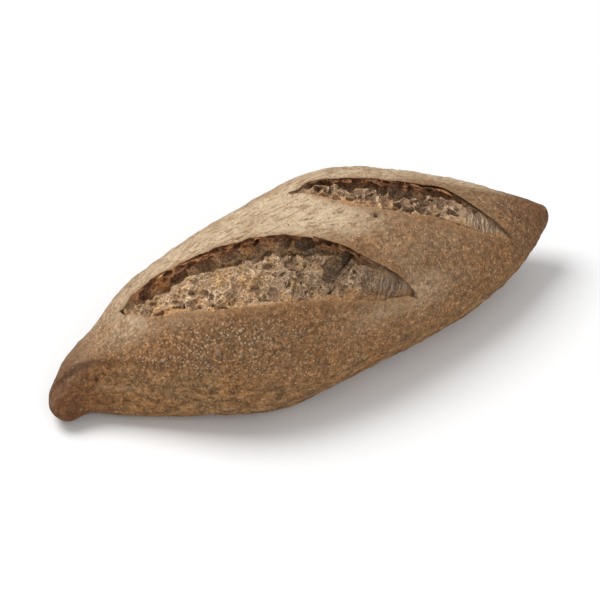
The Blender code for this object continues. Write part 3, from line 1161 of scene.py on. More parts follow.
    def low_mask(self, place: Array, angle: Array) -> Array:
        """The smoother, streaked skin below the fold and under the roll.

        Args:
            place: Places along the roll, from -1 to 1.
            angle: Angles around it, in degrees.

        Returns:
            A value from 0 to 1 for each.
        """
        below = smooth_line(self.form.fold_line, place) - angle
        front = eased(below, 0.5, 4) * (1 - eased(place, -0.1, 0.35))
        return np.clip(front + eased(-angle, -4, 12) + eased(angle, 178, 195), 0, 1)

    def bake_mask(self, place: Array) -> Array:
        """Redder towards the two tips."""
        return np.maximum(0.90 * eased(-place, 0.72, 0.97), 0.62 * eased(place, 0.70, 1.0))

    def crease_shade_mask(self, place: Array, angle: Array, plain: Array) -> Array:
        """Painted shade: a thin broken dark line just under the fold, towards the folded end.

        Args:
            place: Places along the roll, from -1 to 1.
            angle: Angles around it, in degrees.
            plain: Points of the plain skin there.

        Returns:
            A value from 0 to 1 for each.
        """
        below = np.radians(smooth_line(self.form.fold_line, place) - 1.0 - angle)
        below = below * self.form.half_width(place)
        broken = 0.6 + 0.4 * soft_noise(plain, 0.0022, 31)
        return 0.8 * np.exp(-((below / 0.00028) ** 2)) * eased(-place, 0.66, 0.84) * broken

    def build(self, material: Material) -> bpy.types.Object:
        """Rings of points with rows along the fold and the rims, sunk between the rims as a liner.

        Args:
            material: The crust's finish.

        Returns:
            The piece.
        """
        form = self.form
        place = self.places()
        found = []
        for cut in (FRONT_CUT, BACK_CUT):
            rims = self.frayed(form.rim_angles(cut, place), place, cut.seed)
            found.append(self.apart(rims[Rim.NEAR], rims[Rim.FAR], place))
        fold = smooth_line(form.fold_line, place)
        lines = [np.full_like(place, -90.0), fold, *found[0], *found[1], np.full_like(place, 270.0)]
        angle = self.angles(place, lines)
        place = np.repeat(place[:, None], angle.shape[1], axis=1)
        points, normals = form.uneven(place, angle)
        plain = form.plain(place, angle)
        flour = self.flour_mask(place, angle)
        sunk, pit_and_crease_shade = self.dig(plain)
        points += normals * ((self.fine_relief(plain, flour) - sunk) * form.end_rounding(place))[..., None]
        bake = self.bake_mask(place)
        edge, glow = np.zeros_like(bake), np.zeros_like(bake)
        for cut, rims in zip((FRONT_CUT, BACK_CUT), found):
            near, far = (rim[:, None] for rim in rims)
            points, lined = self.sink(points, cut, place, angle, near, far)
            glow, edge = self.rim_masks(glow, edge, cut, place, angle, near, far, lined)
            deep = eased(smooth_line(cut.depth, place * form.length / 2), 0.0016, 0.0042)
            bake = np.maximum(bake, 0.9 * lined * deep)
        points[..., 2] = np.maximum(points[..., 2], 0)
        # painted shade: the crease under the fold joins the pits' mask
        pit_and_crease_shade = np.maximum(pit_and_crease_shade, self.crease_shade_mask(place, angle, plain))
        ends = [form.plain(np.array(end), np.array(0.0)) for end in (-1.0, 1.0)]
        low = self.low_mask(place, angle)
        branny = 0.25 + 0.75 * spot(place, angle, (-0.50, 34), (0.28, 18))
        masks = {
            "flour": flour, "low": low, "bake": bake, "glow": glow,
            "edge": edge, "pit_and_crease_shade": pit_and_crease_shade, "branny": branny,
        }
        return self.mesh(points, ends, masks, material)

    def sink(self, points: Array, cut: Cut, place: Array, angle: Array,
             near: Array, far: Array) -> tuple[Array, Array]:
        """Lowers the points between a cut's rims onto the liner, a trough that runs under the far rim.

        Args:
            points: The skin's grid.
            cut: The cut.
            place: The grid's places.
            angle: The grid's angles.
            near: The near rim's angle in each column.
            far: The far rim's angle in each column.

        Returns:
            The grid with its trough, and a mask of it.
        """
        form = self.form
        x = place * form.length / 2
        width = np.radians(far - near) * form.half_width(place)
        depth = np.minimum(smooth_line(cut.depth, x) + self.liner_extra, 1.2 * width)
        share = np.clip((angle - near) / np.maximum(far - near, 1e-6), 0, 1)
        line = np.array(self.liner)
        ways = travelled(line)
        across = np.interp(share, ways / ways[-1], line[:, 0])
        deep = np.interp(share, ways / ways[-1], line[:, 1])
        over, inward = form.uneven(place, near + across * (far - near))
        floor = over - inward * (depth * deep)[..., None]
        inside = (angle > near) & (angle < far) & (x > cut.near[0][0]) & (x < cut.near[-1][0])
        return np.where(inside[..., None], floor, points), inside * 1.0

    def rim_masks(self, glow: Array, edge: Array, cut: Cut, place: Array, angle: Array,
                  near: Array, far: Array, lined: Array) -> tuple[Array, Array]:
        """Orange brown and golden masks beside a cut's rims.

        Args:
            glow: The orange brown mask so far.
            edge: The golden mask so far.
            cut: The cut.
            place: The grid's places.
            angle: The grid's angles.
            near: The near rim's angle in each column.
            far: The far rim's angle in each column.
            lined: A mask of the cut's trough.

        Returns:
            Both masks, with this cut's added.
        """
        half_width = np.radians(self.form.half_width(place))
        opened = eased((far - near) * half_width, 0.002, 0.007)
        past_far = np.maximum(angle - far, 0) * half_width
        before_near = np.maximum(near - angle, 0) * half_width
        beyond = 1 - lined
        far_side = (angle > (near + far) / 2) * beyond
        near_side = (angle <= (near + far) / 2) * beyond
        reach = 0.0014 + 0.0022 * eased(place, *cut.glow_over)
        far_glow = 0.70 * far_side * np.exp(-past_far / reach)
        near_glow = 0.75 * near_side * np.exp(-before_near / 0.0026)
        far_edge = np.exp(-past_far / 0.0005) * far_side
        near_edge = np.exp(-before_near / 0.0007) * near_side
        glow = np.maximum(glow, opened * np.maximum(far_glow, near_glow))
        edge = np.maximum(edge, 0.85 * opened * beyond * (far_edge + near_edge))
        return glow, edge

    def mesh(self, points: Array, ends: list[Array], masks: dict[str, Array],
             material: Material) -> bpy.types.Object:
        """Closes the rings with a fan at each end point.

        Args:
            points: The skin's grid.
            ends: The roll's two end points.
            masks: The grid's masks by name.
            material: The crust's finish.

        Returns:
            The piece.
        """
        columns, rows = points.shape[:2]
        first = columns * rows
        index = np.arange(first).reshape(columns, rows)
        beside = np.roll(index, -1, axis=1)
        quads = np.stack([index[:-1], index[1:], beside[1:], beside[:-1]], axis=-1).reshape(-1, 4)
        fan = [
            np.stack([np.full(rows, first), index[0], beside[0]], axis=-1),
            np.stack([np.full(rows, first + 1), beside[-1], index[-1]], axis=-1),
        ]
        joined = {
            name: np.concatenate([mask.reshape(-1), [mask[0].mean(), mask[-1].mean()]])
            for name, mask in masks.items()
        }
        points = np.vstack([points.reshape(-1, 3), *ends])
        return put_piece("crust", points, [quads, np.vstack(fan)], joined, material)


# The crumb

CELL_CORNERS = np.array(list(np.ndindex(2, 2, 2)))
CELL_EDGES = [
    (a, b) for a in range(8) for b in range(a + 1, 8)
    if np.abs(CELL_CORNERS[a] - CELL_CORNERS[b]).sum() == 1
]


def net_surface(solid: Array) -> tuple[Array, Array]:
    """The closed surface where a field of numbers crosses 0, as a net of one point for each cell.

    Each cell of the grid that the surface passes has one point, in the middle of where the surface
    cuts the cell's edges, and each grid edge that it cuts joins the four cells around it.

    Args:
        solid: The field, above 0 inside the solid.

    Returns:
        The points in grid steps, and quads of their numbers, facing out.
    """
    inside = solid > 0
    nx, ny, nz = (n - 1 for n in inside.shape)
    counted = sum(inside[i:nx + i, j:ny + j, k:nz + k].astype(np.int8) for i, j, k in CELL_CORNERS)
    cells = np.argwhere((counted > 0) & (counted < 8))
    number = np.full(counted.shape, -1, np.int32)
    number[tuple(cells.T)] = np.arange(len(cells))
    corners = np.stack([solid[tuple((cells + corner).T)] for corner in CELL_CORNERS], axis=1)
    total = np.zeros((len(cells), 3))
    cuts = np.zeros(len(cells))
    for a, b in CELL_EDGES:
        crossed = (corners[:, a] > 0) != (corners[:, b] > 0)
        share = corners[:, a] / np.where(crossed, corners[:, a] - corners[:, b], 1)
        where = CELL_CORNERS[a] + share[:, None] * (CELL_CORNERS[b] - CELL_CORNERS[a])
        total += where * crossed[:, None]
        cuts += crossed
    quads = []
    for axis in range(3):
        u, v = (axis + 1) % 3, (axis + 2) % 3
        ahead = np.roll(inside, -1, axis=axis)
        crossed = np.argwhere(inside != ahead)
        crossed = crossed[(crossed < np.array(inside.shape) - 1).all(axis=1)]
        crossed = crossed[(crossed[:, u] > 0) & (crossed[:, v] > 0)]
        around = []
        for du, dv in ((-1, -1), (0, -1), (0, 0), (-1, 0)):
            cell = crossed.copy()
            cell[:, u] += du
            cell[:, v] += dv
            around.append(number[tuple(cell.T)])
        ring = np.stack(around, axis=1)
        outward = inside[tuple(crossed.T)]
        quads.append(np.where(outward[:, None], ring, ring[:, ::-1]))
    return cells + total / cuts[:, None], np.vstack(quads)


def largest_body(points: Array, quads: Array) -> tuple[Array, Array]:
    """The points and quads of a mesh's largest part, so that no loose scrap or sealed hole is left.

    Each point takes the lowest number among the points that its quads join it to, until all points
    of a part share one number.

    Args:
        points: The mesh's points.
        quads: Its faces, as numbers of points.

    Returns:
        The points of that part, and its quads, numbered anew.
    """
    label = np.arange(len(points))
    while True:
        low = label[quads].min(axis=1)
        lower = label.copy()
        for corner in range(4):
            np.minimum.at(lower, quads[:, corner], low)
        lower = lower[lower]
        if (lower == label).all():
            break
        label = lower
    main = np.bincount(label).argmax()
    kept = np.flatnonzero(label == main)
    renumber = np.full(len(points), -1)
    renumber[kept] = np.arange(len(kept))
    return points[kept], renumber[quads[label[quads[:, 0]] == main]]


@dataclass(frozen=True)
class Tier:
    """One chain of flat bubbles along the wall under a far rim: where it runs and its bubbles' sizes."""

    depth: float
    long: float
    reach: float
    tall: float
    pitch: float
    start: float
    stop: float


FAR_TIERS = (
    Tier(depth=0.0012, long=0.0018, reach=0.0022, tall=0.00070, pitch=0.0033, start=0.02, stop=0.84),
    Tier(depth=0.0027, long=0.0015, reach=0.0027, tall=0.0010, pitch=0.0028, start=0.02, stop=0.78),
)
BACK_TIERS = (
    Tier(depth=0.0010, long=0.0012, reach=0.0016, tall=0.00050, pitch=0.0024, start=0.02, stop=0.80),
    Tier(depth=0.0030, long=0.0015, reach=0.0024, tall=0.0015, pitch=0.0036, start=0.02, stop=0.74),
)


@dataclass
class Crumb:
    """The torn crumb of one cut, worked out as a field in the unrolled skin around it.

    Its frame: s along the cut, v across it towards the front, and d down into the bread. The bread
    fills all but the opening, a hollow under the far rim, and the bubbles that the tear laid open.
    """

    form: RollForm
    flat: Unrolled
    cut: Cut
    step: float
    turn: float = math.radians(28)
    large: tuple[tuple[float, ...], ...] = ()
    pores: int = 2600
    middling: int = 300
    caves: int = 60
    cell: tuple[float, float, float] = (0.0025, 0.0023, 0.0024)
    cell_depth: float = 0.0024
    small_cell: tuple[float, float, float] = (0.0009, 0.0010, 0.0009)
    small_depth: float = 0.0009
    strip: tuple[float, float, float] = (0.00085, 0.0045, 0.0016)
    strip_depth: float = 0.0009
    warp: float = 0.0009
    baked_to: float = 0.0026
    wall_cells: float = 0.3
    lit_over: tuple[float, float] = (0.85, 0.1)
    # how deep below the torn surface the painted hole shade takes to grow
    darkens_over: float = 0.0018
    most_triangles: int = 190_000
    floor_line: Stations = (
        (0.0, 0.08), (0.05, 0.15), (0.14, 0.19), (0.36, 0.20),
        (0.60, 0.25), (0.80, 0.42), (0.95, 0.80), (1.3, 1.0),
    )
    end_floor: float = 0.16
    lip_gap: float = 0.0004
    wall_roughness: float = 0.30
    carve_margin: float = 0.0006
    lumps: float = 0.20
    tiers: tuple[Tier, ...] = FAR_TIERS
    noise_seed: int = 40

    def to_flat(self, s: Array, v: Array) -> tuple[Array, Array]:
        """From the cut's frame, turned on the skin, to x and run."""
        cosine, sine = math.cos(self.turn), math.sin(self.turn)
        return s * cosine - v * sine, s * sine + v * cosine

    def from_flat(self, x: Array, run: Array) -> tuple[Array, Array]:
        """From x and run to the cut's frame."""
        cosine, sine = math.cos(self.turn), math.sin(self.turn)
        return x * cosine + run * sine, -x * sine + run * cosine

    def rim_lines(self, s: Array) -> tuple[Array, Array]:
        """v of the near and the far rim for each s.

        Args:
            s: Ways along the cut.

        Returns:
            v of the near rim, and v of the far rim.
        """
        start, end = self.cut.near[0][0], self.cut.near[-1][0]
        x = np.linspace(start + 1e-5, end - 1e-5, 600)
        rims = self.form.rim_angles(self.cut, 2 * x / self.form.length)
        lines = []
        for rim in (Rim.NEAR, Rim.FAR):
            along, across = self.from_flat(x, self.flat.run(x, rims[rim]))
            order = np.argsort(along)
            lines.append(np.interp(s, along[order], across[order]))
        return lines[0], lines[1]

    def span(self) -> tuple[float, float]:
        """s of the cut's two ends.

        Returns:
            The lower s and the higher s.
        """
        ends = []
        for x, y in (self.cut.near[0], self.cut.near[-1]):
            place = np.array(2 * x / self.form.length)
            run = float(self.flat.run(np.array(x), self.form.angle_over(place, np.array(y))))
            ends.append(self.from_flat(x, run)[0])
        return ends[0], ends[1]

    def profile(self, s: Array) -> tuple[Array, Array, Array, Array]:
        """The near rim, the far rim, the width between them and the depth of the opening, for each s.

        Args:
            s: Ways along the cut.

        Returns:
            These four, one value for each s.
        """
        near, far = self.rim_lines(s)
        width = np.maximum(near - far, 1e-5)
        x, _ = self.to_flat(s, (near + far) / 2)
        depth = np.minimum(smooth_line(self.cut.depth, x), 0.62 * width)
        return near, far, width, depth

    def surface(self, s: Array, v: Array) -> Array:
        """How deep the crumb lies, before bubbles: the floor line across the opening, made lumpy.

        Args:
            s: Ways along the cut.
            v: Ways across it.

        Returns:
            d at each.
        """
        near, _, width, depth = self.profile(s)
        share = np.clip((near - v) / width, 0, 1.3)
        ground = np.stack(np.broadcast_arrays(s, v, 0 * s), axis=-1)
        lumps = self.lumps * (soft_noise(ground, 0.0062, self.noise_seed)
                              + 0.5 * soft_noise(ground, 0.0027, self.noise_seed + 1))
        open_wide = eased(depth, 0.0016, 0.0042)
        floor = smooth_line(self.floor_line, share)
        floor = open_wide * floor + (1 - open_wide) * np.minimum(floor, self.end_floor)
        return depth * (floor + lumps * eased(share, 0.0, 0.15))

    def bubbles(self) -> Array:
        """Rows of (s, v, d, radius along s, along v, along d), seeded: named, at the lip, and scattered.

        Returns:
            The rows, in the order in which they are taken out of the bread.
        """
        rng = np.random.default_rng(self.cut.seed)
        rows = [np.array(self.large)]
        start, end = self.span()
        for tier in self.tiers:
            s = start + (end - start) * tier.start + np.cumsum(rng.uniform(0.7, 1.35, 80)) * tier.pitch
            s = s[s < start + (end - start) * tier.stop]
            _, far, _, opening = self.profile(s)
            share = np.clip(opening / 0.0075, 0.3, 1)
            sizes = rng.uniform(0.75, 1.25, (4, len(s)))
            rows.append(np.stack([
                s, far + tier.reach * rng.uniform(-0.4, 0.4, len(s)), tier.depth * share * sizes[0],
                tier.long * sizes[1], tier.reach * sizes[2] * np.sqrt(share), tier.tall * share * sizes[3],
            ], axis=1))
        for count, small, big in (
            (self.caves, 0.0011, 0.0021), (self.middling, 0.00055, 0.0011), (self.pores, 0.00022, 0.00048),
        ):
            s = rng.uniform(start, end, count)
            share = rng.uniform(0.02, 1.0, count)
            near, _, width, opening = self.profile(s)
            v = near - share * width
            radius = small + (big - small) * rng.uniform(0, 1, count) ** 2
            stretched = 1 - eased(opening, 0.0012, 0.0045)
            radius *= 1 - 0.62 * stretched * (radius > 0.0005)
            sideways = rng.uniform(0.8, 1.5, count)
            d = self.surface(s, v) + radius * rng.uniform(-0.55, 0.5, count) * (1 - 0.5 * stretched)
            wide = np.minimum(radius * sideways * (1 + 2.2 * stretched), 0.45 * width)
            long, tall = radius * (1 - 0.45 * stretched), radius * (1 - 0.3 * stretched)
            rows.append(np.stack([s, v, np.maximum(d, 0.0001), long, wide, tall], axis=1))
        return np.vstack(rows)

    def field(self) -> tuple[Array, Array, tuple[Array, Array, Array]]:
        """The bread's field on a grid, above 0 inside.

        Returns:
            The field, the same before bubbles, and the grid's three axes.
        """
        start, end = self.span()
        s = np.arange(start - 0.0008, end + 0.0008, self.step)
        near, far, width, depth = self.profile(s)
        v = np.arange(far.min() - 0.0048, near.max() + 0.0012, self.step)
        d = np.arange(self.lip_gap - self.step, depth.max() + 0.0040, self.step)
        ground = self.surface(s[:, None] + 0 * v[None, :], v[None, :] + 0 * s[:, None])
        near, far, width, depth = (lying(line.astype(np.float32), 0) for line in (near, far, width, depth))
        grid = along, across, down = [lying(line.astype(np.float32), k) for k, line in enumerate((s, v, d))]
        plain = down - ground[..., None].astype(np.float32)
        whole = np.maximum(np.maximum(plain, across - near), far - across)
        cells = eased(depth, 0.0012, 0.0045)
        hollow = cells * (self.cell_depth * self.foam(grid, self.cell, self.noise_seed + 3)
                          + self.small_depth * self.foam(grid, self.small_cell, self.noise_seed + 4))
        strips = self.foam(grid, self.strip, self.noise_seed + 5)
        hollow += (1 - cells) * (np.minimum(self.strip_depth, 0.5 * depth) * strips)
        hollow *= eased((near - across) / width, 0.0, 0.12)
        wall = far - across - self.wall_cells * hollow * eased(down, 0.0008, 0.0022)
        bread = np.maximum(np.maximum(plain - hollow, across - near), wall)
        rough = self.rough(bread.shape)
        bread += 0.00016 * rough
        for row in self.bubbles():
            self.carve(bread, rough, (s, v, d), row)
        # the block of crumb around the opening, closed at its sides, bottom, top and ends
        bottom = np.minimum(depth + 0.0034, 0.9 * width + 0.0006)
        sides = np.minimum(near + 0.0006 - across, across - far + 0.2 * width + 0.0012)
        block = np.minimum(np.minimum(sides, bottom - down), down - self.lip_gap)
        block = np.minimum(block, np.minimum(along - start + 0.0004, end + 0.0004 - along))
        bread = np.minimum(bread, block)
        bread[[0, -1]] = bread[:, [0, -1]] = bread[:, :, [0, -1]] = -self.step
        return bread, whole, (s, v, d)

    def foam(self, axes: tuple[Array, ...], sizes: tuple[float, ...], seed: int) -> Array:
        """Bowls of a foam's cells over the grid, whose centres are drawn one in each box of a lattice.

        Args:
            axes: The grid's three axes, shaped for broadcasting.
            sizes: A cell's size along each.
            seed: Draws the centres and how deep each cell is.

        Returns:
            0 at a cell's walls, and up to the cell's own depth of 0.15 to 1 in its middle.
        """
        rng = np.random.default_rng(seed)
        coarse = [axis.reshape(-1)[::2] for axis in axes]
        scaled = [(line - line[0]) / size + 1 for line, size in zip(coarse, sizes)]
        scaled = [lying(line, k) for k, line in enumerate(scaled)]
        boxes = [line.astype(int) for line in scaled]
        count = [int(line.max()) + 2 for line in boxes]
        centres = rng.uniform(0, 1, (3, *count)).astype(np.float32)
        depths = rng.uniform(0.15, 1, count).astype(np.float32)
        size = [line.size for line in scaled]
        nearest, second, own = (np.full(size, start, np.float32) for start in (9.0, 9.0, 0.0))
        for corner in np.ndindex(3, 3, 3):
            box = tuple(line + k - 1 for line, k in zip(boxes, corner))
            away = sum((centres[k][box] + box[k] - scaled[k]) ** 2 for k in range(3))
            closer = away < nearest
            second = np.where(closer, nearest, np.minimum(second, away))
            own = np.where(closer, depths[box], own)
            nearest = np.minimum(nearest, away)
        gap = np.clip((np.sqrt(second) - np.sqrt(nearest)) / 0.6, 0, 1)
        bowls = own * (1 - (1 - gap) ** 2)
        for axis, line in enumerate(axes):
            bowls = read_between(bowls, np.arange(line.size) / 2, axis)
        return bowls

    def rough(self, size: tuple[int, ...]) -> Array:
        """Fine unevenness of the whole field: random values on two coarser grids, blended between.

        Args:
            size: The field's number of points along each axis.

        Returns:
            Values from -1 to 1.
        """
        rng = np.random.default_rng(self.noise_seed)
        total = np.zeros(size, np.float32)
        for step, height in ((6, 0.6), (3, 0.4)):
            coarse = rng.uniform(-1, 1, [n // step + 2 for n in size]).astype(np.float32)
            for axis, n in enumerate(size):
                coarse = read_between(coarse, np.arange(n) / step, axis, smooth=True)
            total += height * coarse
        return total

    def carve(self, bread: Array, rough: Array, axes: tuple[Array, ...], row: Array) -> None:
        """Takes one bubble out of the field: an ellipsoid with an uneven wall.

        Args:
            bread: The field, which is changed in place around the bubble.
            rough: The field's unevenness, which the bubble's wall follows.
            axes: The grid's three axes.
            row: The bubble's middle and its three radii.
        """
        centre, radii = row[:3], row[3:6]
        parts, away = [], 0
        for k, axis in enumerate(axes):
            ends = centre[k] - radii[k] - self.carve_margin, centre[k] + radii[k] + self.carve_margin
            i, j = np.searchsorted(axis, ends)
            if i == j:
                return
            parts.append(slice(i, j))
            away = away + ((lying(axis[i:j].astype(np.float32), k) - centre[k]) / radii[k]) ** 2
        parts = tuple(parts)
        uneven = np.sqrt(away) - 1 + self.wall_roughness * rough[parts]
        bread[parts] = np.minimum(bread[parts], uneven * radii.min())

    def build(self, material: Material) -> bpy.types.Object:
        """The crumb's surface laid back onto the roll, with masks for its colours.

        Args:
            material: The crumb's finish.

        Returns:
            The piece.
        """
        bread, whole, axes = self.field()
        nodes, quads = net_surface(bread)
        nodes, quads = largest_body(nodes, quads)
        nearest = tuple(np.clip(np.round(nodes[:, k]).astype(int), 0, whole.shape[k] - 1) for k in range(3))
        below = whole[nearest]
        s, v, d = (axes[k][0] + nodes[:, k] * self.step for k in range(3))
        local = np.stack([s, v, d], axis=-1)
        bent = local + self.warp * np.stack([soft_noise(local, 0.0034, 50 + k) for k in range(3)], axis=-1)
        bent += 0.27 * self.warp * np.stack([soft_noise(local, 0.0012, 55 + k) for k in range(3)], axis=-1)
        bent[:, 2] = np.maximum(bent[:, 2], self.lip_gap * 0.8)
        x, run = self.to_flat(bent[:, 0], bent[:, 1])
        place = 2 * x / self.form.length
        angle = self.flat.angle(x, run)
        skin, normals = self.form.uneven(place, angle)
        points = skin - normals * bent[:, 2:3]
        near, far, width, depth = self.profile(s)
        wall = (1 - eased(v - far, 0.0006, 0.0020)) * eased(depth, 0.001, 0.004)
        along, share = (s - s.min()) / (s.max() - s.min()), (near - v) / width
        striped = 1 - eased(depth, 0.0016, 0.0040)
        masks = {
            # painted shade: darker the deeper a point lies below the torn surface, a little less in the
            # deepest holes
            "hole": (1 - np.exp(-(np.maximum(below - 0.0003, 0) / self.darkens_over) ** 1.5))
            * (1 - 0.45 * eased(below, 0.0016, 0.0032)),
            # painted highlight on the crumb that lies at its torn surface, outside the bubbles
            "ridge_highlight": np.exp(-np.maximum(below, 0) / 0.00040),
            "bake": wall * (1 - eased(d, self.baked_to, 2.6 * self.baked_to)),
            "along": along,
            "lit": eased(along, *self.lit_over),
            "striped": striped,
            "fade": striped * np.maximum(0.90 * eased(share, 0.50, 0.95), 0.6 * eased(-share, -0.10, 0.0)),
            "frill": np.exp(-((np.maximum(near - v, 0) / 0.0022) ** 2)) * (1 - eased(d, 0.0014, 0.003)),
        }
        return put_piece(f"crumb_{self.cut.name}", points, [quads], masks, material, self.most_triangles)


def front_crumb(form: RollForm, flat: Unrolled) -> Crumb:
    """The crumb of the front cut, with its large bubbles.

    Args:
        form: The roll's form.
        flat: Its skin laid flat.

    Returns:
        The crumb, ready to build.
    """
    return Crumb(form, flat, FRONT_CUT, step=0.00023, large=(
        (0.0085, 0.0188, 0.0010, 0.0046, 0.0052, 0.0040), (0.0124, 0.0150, 0.0045, 0.0023, 0.0026, 0.0024),
        (0.0182, 0.0219, 0.0006, 0.0026, 0.0042, 0.0020), (-0.0008, 0.0098, 0.0040, 0.0034, 0.0030, 0.0026),
        (-0.0070, 0.0092, 0.0038, 0.0021, 0.0026, 0.0022), (-0.0138, 0.0104, 0.0046, 0.0038, 0.0030, 0.0024),
        (-0.0222, 0.0108, 0.0046, 0.0036, 0.0029, 0.0023), (-0.0300, 0.0118, 0.0044, 0.0033, 0.0027, 0.0021),
        (-0.0374, 0.0142, 0.0040, 0.0030, 0.0024, 0.0019),
        (-0.0455, 0.0195, 0.0034, 0.0020, 0.0020, 0.0016), (-0.0099, 0.0245, 0.0022, 0.0014, 0.0015, 0.0014),
        (-0.0104, 0.0266, 0.0020, 0.0012, 0.0010, 0.0010), (-0.0075, 0.0190, 0.0024, 0.0016, 0.0016, 0.0013),
        (-0.0157, 0.0130, 0.0044, 0.0016, 0.0014, 0.0014), (0.0157, 0.0178, 0.0014, 0.0011, 0.0013, 0.0010),
        (0.0341, 0.0236, 0.0002, 0.0006, 0.0012, 0.0009),
    ))


def back_crumb(form: RollForm, flat: Unrolled) -> Crumb:
    """The crumb of the back cut, with its larger bubbles.

    Args:
        form: The roll's form.
        flat: Its skin laid flat.

    Returns:
        The crumb, ready to build.
    """
    return Crumb(form, flat, BACK_CUT, step=0.00022, pores=1200, middling=130, caves=30, baked_to=0.0017,
                 wall_cells=0.9, darkens_over=0.0011, lit_over=(-1.5, 0.6), noise_seed=60,
                 cell=(0.0028, 0.0036, 0.0036), cell_depth=0.0042, tiers=BACK_TIERS, floor_line=(
        (0.0, 0.06), (0.05, 0.12), (0.14, 0.13), (0.36, 0.13),
        (0.60, 0.14), (0.85, 0.22), (0.97, 0.50), (1.3, 0.9),
    ), large=(
        (0.0119, -0.0140, 0.0030, 0.0030, 0.0018, 0.0020), (0.0160, -0.0136, 0.0034, 0.0024, 0.0018, 0.0020),
        (0.0206, -0.0107, 0.0020, 0.0010, 0.0019, 0.0020), (0.0233, -0.0104, 0.0018, 0.0011, 0.0013, 0.0016),
        (0.0281, -0.0135, 0.0032, 0.0023, 0.0040, 0.0032), (0.0325, -0.0150, 0.0036, 0.0016, 0.0022, 0.0024),
        (0.0347, -0.0110, 0.0022, 0.0017, 0.0021, 0.0022), (0.0345, -0.0150, 0.0034, 0.0022, 0.0020, 0.0020),
        (0.0400, -0.0172, 0.0022, 0.0030, 0.0018, 0.0014), (0.0445, -0.0172, 0.0014, 0.0014, 0.0014, 0.0011),
        (0.0496, -0.0142, 0.0008, 0.0009, 0.0019, 0.0014), (0.0210, -0.0150, 0.0036, 0.0026, 0.0020, 0.0020),
        (0.0583, -0.0119, 0.0001, 0.0005, 0.0009, 0.0007), (0.0065, -0.0128, 0.0016, 0.0018, 0.0014, 0.0011),
    ))


# Bran on the crust


@dataclass
class Bran:
    """Flakes of bran that lie on the crust, thickest on the near left flank."""

    form: RollForm
    count: int = 5200
    largest: tuple[tuple[float, float, float], ...] = (
        (-0.0407, 33.2, 0.0014), (-0.0350, 38.0, 0.0008), (-0.0478, 31.0, 0.0008), (-0.0446, 40.5, 0.0006),
        (-0.0395, 29.0, 0.0007), (-0.0230, 30.5, 0.0009), (-0.0245, 36.0, 0.0006), (-0.0530, 37.0, 0.0006),
    )
    sides: int = 7
    seed: int = 11

    def places(self) -> tuple[Array, Array]:
        """Place and angle of each flake: the largest, then others kept by how branny the crust is there.

        Returns:
            The flakes' places, and their angles.
        """
        rng = np.random.default_rng(self.seed)
        place = rng.uniform(-0.97, 0.97, self.count * 6)
        angle = rng.uniform(-60, 240, self.count * 6)
        flank = spot(place, angle, (-0.52, 40), (0.22, 24))
        side = eased(angle, -55, -5) * (1 - eased(angle, 60, 110))
        chance = (0.22 + 0.3 * side + 1.0 * flank) * self.form.half_width(place) / 0.032
        kept = rng.uniform(0, 1.3, len(place)) < chance
        for cut in (FRONT_CUT, BACK_CUT):
            rims = self.form.rim_angles(cut, place)
            kept &= (angle < rims[Rim.NEAR] - 2.5) | (angle > rims[Rim.FAR] + 2.5)
        kept &= self.form.plain(place, angle)[:, 2] > 0.0012
        named = np.array(self.largest)
        place = np.concatenate([2 * named[:, 0] / self.form.length, place[kept][: self.count]])
        return place, np.concatenate([named[:, 1], angle[kept][: self.count]])

    def build(self, material: Material) -> bpy.types.Object:
        """Each flake is a low cap: a rim of uneven radius just in the crust, and a raised middle.

        Args:
            material: The bran's finish.

        Returns:
            The piece.
        """
        rng = np.random.default_rng(self.seed + 1)
        place, angle = self.places()
        count = len(place)
        skin, normal = self.form.uneven(place, angle)
        side = unit(np.cross(normal, rng.normal(size=(count, 3))))
        other = np.cross(normal, side)
        flank = spot(place, angle, (-0.48, 42), (0.25, 22))
        radius = 0.00012 + (0.00022 + 0.00042 * flank) * rng.uniform(0, 1, count) ** 4
        radius[: len(self.largest)] = [flake[2] for flake in self.largest]
        narrow = rng.uniform(0.45, 0.95, count)
        turns = np.linspace(0, 2 * np.pi, self.sides, endpoint=False)
        wobble = rng.uniform(0.75, 1.2, (count, self.sides)) * radius[:, None]
        tall = radius * rng.uniform(0.18, 0.4, count)
        flat_ring = (
            side[:, None] * (np.cos(turns) * wobble)[..., None]
            + other[:, None] * (np.sin(turns) * wobble * narrow[:, None])[..., None]
        )
        low = skin[:, None] + flat_ring - normal[:, None] * 0.00010
        high = skin[:, None] + flat_ring * 0.72 + normal[:, None] * (tall * 0.75)[:, None, None]
        middle = skin[:, None] + normal[:, None] * tall[:, None, None]
        points = np.concatenate([low, high, middle], axis=1)
        ring = np.arange(self.sides)
        after = np.roll(ring, -1)
        walls = np.stack([ring, after, after + self.sides, ring + self.sides], axis=-1)
        middles = np.full(self.sides, 2 * self.sides)
        top = np.stack([ring + self.sides, after + self.sides, middles], axis=-1)
        base = (np.arange(count) * (2 * self.sides + 1))[:, None, None]
        tone = np.repeat(rng.uniform(0, 1, count) ** 1.3, 2 * self.sides + 1)
        under = (base[:, 0] + ring[::-1]).reshape(-1, self.sides)
        faces = [(base + walls).reshape(-1, 4), (base + top).reshape(-1, 3), under]
        return put_piece("bran", points.reshape(-1, 3), faces, {"tone": tone}, material)


# The studio


def place_object(name: str, data: bpy.types.ID, right: Array, up: Array, back: Array,
                 where: Array) -> bpy.types.Object:
    """A camera or lamp with its three axes turned to given directions, at a place.

    Args:
        name: Its name.
        data: The camera or lamp.
        right: Direction of its X axis.
        up: Direction of its Y axis.
        back: Direction of its Z axis, away from what it looks at.
        where: Its place.

    Returns:
        The new object.
    """
    placed = bpy.data.objects.new(name, data)
    turned = np.eye(4)
    turned[:3] = np.stack([right, up, back, where], axis=1)
    placed.matrix_world = Matrix(turned.tolist())
    bpy.context.scene.collection.objects.link(placed)
    return placed


@dataclass(frozen=True)
class Lamp:
    """A square soft lamp: where it hangs, how wide it is, and its power in watts."""

    name: str
    place: tuple[float, float, float]
    size: float
    power: float


